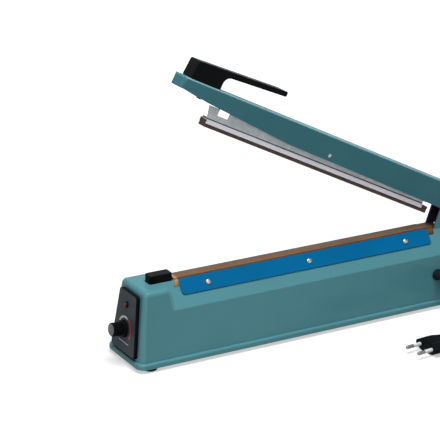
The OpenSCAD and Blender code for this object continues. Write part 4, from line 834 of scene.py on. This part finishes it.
# Hinge: a bracket bent up into two ears and a stop, teal outside and black between the ears,
# screwed on the ridge. A bright pin with a clip and a bush, and a torsion spring round the bush.
hinge_paint = finish("hinge_paint", teal, deep_teal, **powder_coat, gloss=0.08,
                     coat=(0.15, 0.06), rub=(tint(150, 172, 176), rub_width, 0.9))
tree = hinge_paint.node_tree
sideways = tree.nodes.new("ShaderNodeSeparateXYZ")
feed(tree, sideways.inputs[0], tree.nodes.new("ShaderNodeTexCoord").outputs["Object"])
from_middle = maths(tree, "ABSOLUTE", sideways.outputs["Y"])
black_end, teal_start = 0.0085, 0.0087
between_ears = ranged(tree, from_middle, black_end, teal_start, 1.0, 0.0)
overpaint(hinge_paint, between_ears, tint(52, 58, 64))
redrawn("hinge_ears", "hinge_bracket", 0.3, hinge_paint, "base")
bracket_top = 85.5
screws("hinge_screw_heads", pan_screw(radius=3.6, height=2.2, shank=2, length=7),
       [Matrix.Translation(mm(x, 0, bracket_top)) for x in (389.5, 398.5)],
       "base", ["bracket_screws"])
hinge = mm(403, 0, 109.5)
pin_outline = [(0, -12.8), (3.6, -12.75), (4.5, -12.3), (4.95, -11.8), (5, -10.9), (4.9, -10.8),
               (3, -10.8), (3, 12.6), (2.6, 13), (0, 13)]
piece("pin", turned(pin_outline, Matrix.Translation(hinge) @ turn(-90, "X")), bright_steel,
      "base", ["hinge_pin"])
redrawn("clip", "pin_clip", 0.15, steel_wire, "base")
dress("hinge_bush", zinc)
curl, half_run, wound, curl_steps = 6, 4.6, math.radians(1483.1), 96
leg_down, leg_up = 23.8, 32.635
spring_line = [Vector((curl, -half_run, -leg_down))]
for i in range(curl_steps + 1):
    t = i / curl_steps
    spring_line.append(Vector((curl * math.cos(wound * t), half_run * (2 * t - 1),
                               curl * math.sin(wound * t))))
spring_line.append(spring_line[-1] + leg_up * Vector((-math.sin(wound), 0, math.cos(wound))))
hinge_coil = wire("hinge_coil", [hinge + point / 1000 for point in spring_line], 0.0007,
                  None, ["return_spring"])
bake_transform(hinge_coil)


# Lever: a teal channel of bent sheet, open below, with a round nose. It turns on the hinge
# pin and carries a spring seat held by two rivets, and a tab that meets the button.
lever_open = 26.9
lever_turn = Matrix.Translation(hinge) @ turn(lever_open, "Y") @ Matrix.Translation(-hinge)
lever_form = merged("lever_arm")
level = lever_turn.inverted()
crown_height = 0.12845
crown = [e for e in lever_form.edges if e.calc_face_angle(0) > 0.6
         and min((level @ v.co).z for v in e.verts) > crown_height]
rounded_off(lever_form, crown, width=2.2, segments=4)
# Painted shade: the lever's teal is a darker copy of the body's, standing in for the shade its
# sides sit in.
shaded_lever_paint = finish("shaded_lever_paint", tint(61, 115, 125), tint(55, 107, 118), **powder_coat,
                     gloss=0.05, coat=(0.06, 0.06), rub=(tint(112, 160, 167), rub_width, 0.5))
# Painted highlight along the lever's rounded top edges, where the top turns into the sides.
paint_corner_highlight(shaded_lever_paint, across, upward, tint(150, 186, 190), share=0.6)
piece("lever", softened(lever_form, 0.25), shaded_lever_paint, "lever", ["lever_arm"])
redrawn("seat", "spring_seat", 0.2, zinc, "lever")
redrawn("tab", "switch_tab", 0.3, shaded_lever_paint, "lever")
seat_x, rivet_side, rivet_up = 220.194, 10.5, 107.9
rivet_outline = [(0, 1), (1, 0.95), (1.7, 0.7), (2.1, 0.35), (2.2, 0), (1.5, 0), (1.5, -2.5),
                 (0, -2.5)]
rivet_places = [lever_turn @ Matrix.Translation(mm(seat_x, side * rivet_side, rivet_up))
                @ turn(-90 * side, "X") for side in (-1, 1)]
piece("rivets", joined([turned(rivet_outline, place) for place in rivet_places]), bright_steel,
      "lever", ["seat_rivets"])
dress("hanger_pin", shaded_lever_paint)


# Handle: a black moulded grip whose front stands on the lever, screwed from below, and whose
# rear runs free above it so that the fingers pass under.
handle_low, handle_half = 128.55, 9.5
handle_side = ((22.4, 0), (60.4, 0), (60.4, 14.15), (138.8, 18.6), (138.8, 24.2), (23.9, 19.26))
handle = plate([lever_turn @ mm(x, -handle_half, handle_low + z) for x, z in handle_side],
               lever_turn @ mm(0, 2 * handle_half, 0) - lever_turn @ mm(0, 0, 0),
               (0, 0, 7.5, 1.6, 1.6, 1.8))
piece("handle", softened(handle, 0.9, limit=60, segments=3), black_plastic,
      "lever", ["lever_handle"])
dress("handle_screws", bright_steel)


# Pressure bar: an extruded bar with a slot that holds the brown rubber, screwed below a
# galvanised hanger which tilts on a pin in the lever against a coil spring. Painted shade darkens
# a thin line along the hanger's foot.
bar_rubber = finish("bar_rubber", tint(56, 36, 33), tint(68, 44, 40), patches=60,
                    rough=(0.6, 0.78), smear=120, bumps=(1500, 0.00003))
redrawn("bar", "pressure_bar", 0.25, alloy, "bar")
redrawn("rubber", "rubber_strip", 0.5, bar_rubber, "bar")
hanger_zinc = finish("hanger_zinc", tint(158, 165, 168), tint(176, 182, 184), patches=160,
                     rough=(0.34, 0.55), smear=90, bumps=(500, 0.00002), metal=0.5)
tree = hanger_zinc.node_tree
lever_up = (lever_turn @ mm(0, 0, 1) - lever_turn @ mm(0, 0, 0)).normalized()
where = tree.nodes.new("ShaderNodeTexCoord").outputs["Object"]
rise = maths(tree, "DOT_PRODUCT", where, lever_up)
# Painted shade: a thin dark line along the hanger's foot, where it sits on the bar.
foot_line, foot_blur = lever_up.dot(lever_turn @ mm(0, 0, 97.4)), 0.0002
seam_shade = ranged(tree, rise, foot_line - foot_blur, foot_line + foot_blur, 1.0, 0.0)
overpaint(hanger_zinc, seam_shade, tint(58, 55, 60))
redrawn("hanger", "bar_hanger", 0.15, hanger_zinc, "bar")
hanger_middle, hanger_step, hanger_row, hanger_foot = 214.7, 69.363, 3, 97.7225
hanger_spots = [hanger_middle + i * hanger_step for i in (-1.5, -0.5, 0.5, 1.5)]
screws("hanger_screw_heads", pan_screw(radius=1.9, height=1.4, shank=1.25, length=2.2),
       [lever_turn @ Matrix.Translation(mm(x, hanger_row, hanger_foot)) for x in hanger_spots],
       "bar", ["hanger_screws"])
spring_place = lever_turn @ Matrix.Translation(mm(seat_x, 0.7, 0))
bar_curls = helix(radius=3.5, low=98.6725, high=123.7, curls=6, middle=spring_place)
bar_coil = wire("bar_coil", bar_curls, 0.0008, "lever", ["pressure_spring"])
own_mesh(bar_coil)


# Mains lead: a black round lead that leaves the near wall through a ribbed sleeve, drops to
# the table, lies in a tied coil and ends in a flat two-pin plug.
cord_black = finish("cord_black", tint(20, 21, 23), tint(28, 29, 31), patches=80,
                    rough=(0.4, 0.55), smear=120, bumps=(1800, 0.00002), gloss=0.08)
lead = 6
gland_spot = Vector((371.5, -31.2782, 38.5))
gland_place = Matrix.Translation(mm(*gland_spot)) @ turn(90 - wall_lean, "X")
gland_way = Vector((0, -math.cos(math.radians(wall_lean)), math.sin(math.radians(wall_lean))))
gland_long = 32
gland_tip = gland_spot + gland_long * gland_way
coil_middle = Vector((436, gland_spot.y - 108.7, 0))
outer_turn, inner_turn, turn_step, low_layer, dip = 39.6, 26.4, 6.6, 4.05, 1.8
turns_in, climb, coil_turns, steps_per_turn = 2, 0.5, 4.625, 36


def coil_angle(t):
    return math.radians(90 - 360 * t)


def coil_point(t):
    """The coil after t turns: inwards on the table, up half a turn, then outwards on top."""
    share = (t - turns_in) / climb
    if t < turns_in:
        radius, height = outer_turn - turn_step * t, 0
    elif share < 1:
        radius = inner_turn - dip * (1 - math.cos(2 * math.pi * share)) / 2
        height = (1 - math.cos(math.pi * share)) / 2
    else:
        radius, height = inner_turn + turn_step * (t - turns_in - climb), 1
    angle = coil_angle(t)
    return coil_middle + Vector((radius * math.cos(angle), radius * math.sin(angle),
                                 low_layer + turn_step * height))


def smooth(points, steps=4):
    """A curve through the points, each stretch in steps."""
    drawn = []
    for i in range(len(points) - 1):
        a, b, c = points[max(i - 1, 0)], points[i], points[i + 1]
        d = points[min(i + 2, len(points) - 1)]
        for t in [k / steps for k in range(steps)]:
            drawn.append(0.5 * (2 * b + (c - a) * t + (2 * a - 5 * b + 4 * c - d) * t * t
                                + (3 * b - a - 3 * c + d) * t ** 3))
    return drawn + [points[-1]]


def from_gland(x, y, z):
    return Vector((gland_spot.x + x, gland_spot.y + y, z))


coil_first = coil_point(0) - Vector((lead, 0, 0))
coil_end = coil_point(coil_turns)
end_way = Vector((math.sin(coil_angle(coil_turns)), -math.cos(coil_angle(coil_turns)), 0))
plug_turn, plug_long = 5, 58
plug_spot = Vector((gland_spot.x - 80.1, gland_spot.y - 96.2, 6.9))
plug_way = Vector((math.cos(math.radians(plug_turn)), math.sin(math.radians(plug_turn)), 0))
tail_end = plug_spot + plug_long * plug_way
down = [gland_tip + lead * gland_way, from_gland(1, -45.7, 41), from_gland(3.5, -54.7, 35),
        from_gland(8.5, -63.7, 25.5), from_gland(15.5, -69.7, 16), from_gland(24.5, -72.2, 8.5),
        from_gland(35.5, -71.2, 4.8), from_gland(46, -69.7, low_layer),
        coil_first - Vector((lead, 0, 0))]
back = [coil_end + 3 * lead * end_way, from_gland(12.5, -117.7, 8.6), from_gland(5, -109.7, 6.4),
        from_gland(-1.5, -102.7, 5.4), from_gland(-8, -96.7, 5.4), tail_end + lead * plug_way]
coil = [coil_point(i / steps_per_turn) for i in range(round(coil_turns * steps_per_turn) + 1)]
route = ([gland_tip] + smooth(down) + [coil_first] + coil
         + [coil_end + lead * end_way, coil_end + 2 * lead * end_way] + smooth(back) + [tail_end])
cord_piece = round_line("mains_lead", [mm(*point) for point in route], lead / 2000, 4)
cord_piece.data.materials.append(cord_black)
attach(cord_piece, "base")
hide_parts("cord_lead", "cord_coil", "cord_tail")

sleeve_outline = [(0, -8), (5, -8), (5, 0.05), (6.1, 0.05), (6.3, 0.3), (6.3, 1.7), (6.0, 2),
                  (5, 2.05)]
for i in range(9):
    start = 3 + 2.9 * i
    rib = 5 - 1.5 * start / 30
    groove = rib - 0.55
    sleeve_outline += [(rib, start), (rib - 0.05, start + 1.5),
                       (groove, start + 1.7), (groove, start + 2.7)]
sleeve_outline += [(3.5, 29.5), (3.4, 31.6), (3.2, 31.95), (0, 31.95)]
gland_piece = piece("gland", turned(sleeve_outline, gland_place, 36), black_rubber,
                    "base", ["cord_gland"], sharp=50)
dress("gland_nut", black_plastic)
tie_piece = redrawn("tie", "cord_tie", 0.2, black_plastic, "base")

plug_place = Matrix.Translation(mm(*plug_spot)) @ turn(plug_turn, "Z")


def plug_ring(x, half, high):
    """Eight corners of the plug's section."""
    upper = ((half, 0.3 * high), (0.5 * half, high), (-0.5 * half, high), (-half, 0.3 * high))
    return [Vector((x, y, z)) / 1000 for y, z in upper + tuple((-y, -z) for y, z in upper)]


boot_start = 35
boot_outline = [(0, boot_start), (5.2, boot_start)]
for i in range(6):
    start = 37 + 3 * i
    rib = 5.2 - 0.082 * (start - boot_start)
    groove = rib - 0.5
    boot_outline += [(rib, start), (rib, start + 1.6),
                     (groove, start + 1.8), (groove, start + 2.8)]
boot_outline += [(3.5, 56), (3.4, 57.7), (3.2, 57.95), (0, 57.95)]
boot = turned(boot_outline, plug_place @ turn(90, "Y"), 32)
plug_form = bmesh.new()
plug_end = plug_form.faces.new([plug_form.verts.new(c) for c in plug_ring(0, 17.3, 6.8)])
for x, half, high in ((15, 17.7, 6.8), (36, 7, 5.4)):
    made = bmesh.ops.extrude_face_region(plug_form, geom=[plug_end])
    plug_end = added(made, bmesh.types.BMFace)[0]
    for corner, spot in zip(plug_end.verts, plug_ring(x, half, high)):
        corner.co = spot
softened(closed(plug_form), 1.1, limit=12, segments=3).transform(plug_place)
plug_piece = piece("plug", plug_form, black_plastic, "base", ["plug_body"])
plug_boot = piece("plug_boot", boot, black_plastic, "base")
white_plastic = finish("white_plastic", tint(206, 210, 210), tint(216, 219, 219), patches=90,
                       rough=(0.35, 0.5), smear=140, bumps=(2000, 0.00001))
pin_nickel = finish("pin_nickel", tint(112, 112, 114), tint(128, 128, 130), patches=260,
                    rough=(0.28, 0.42), smear=160, bumps=(1400, 0.000012), metal=0.9)
plug_pin_side, plug_pin_gap = 0.0093, 0.00005
plug_pin_places = [plug_place @ Matrix.Translation((-plug_pin_gap, y, 0)) @ outward
                   for y in (-plug_pin_side, plug_pin_side)]
half_sleeve = [(1.42, 0), (2, 0), (2, 9.8), (1.9, 10), (1.42, 10), (1.42, 0)]
sleeves = piece("plug_sleeves", joined([turned(half_sleeve, at, 28) for at in plug_pin_places]),
                white_plastic, "base", ["pin_sleeves"])
plug_pin = [(0, 0.02), (1.4, 0.02), (1.4, 10.05), (2, 10.05), (2, 17.8), (1.85, 18.4),
            (1.4, 18.85), (0, 19)]
pins = piece("plug_tips", joined([turned(plug_pin, at, 28) for at in plug_pin_places]),
             pin_nickel, "base", ["plug_pins"])
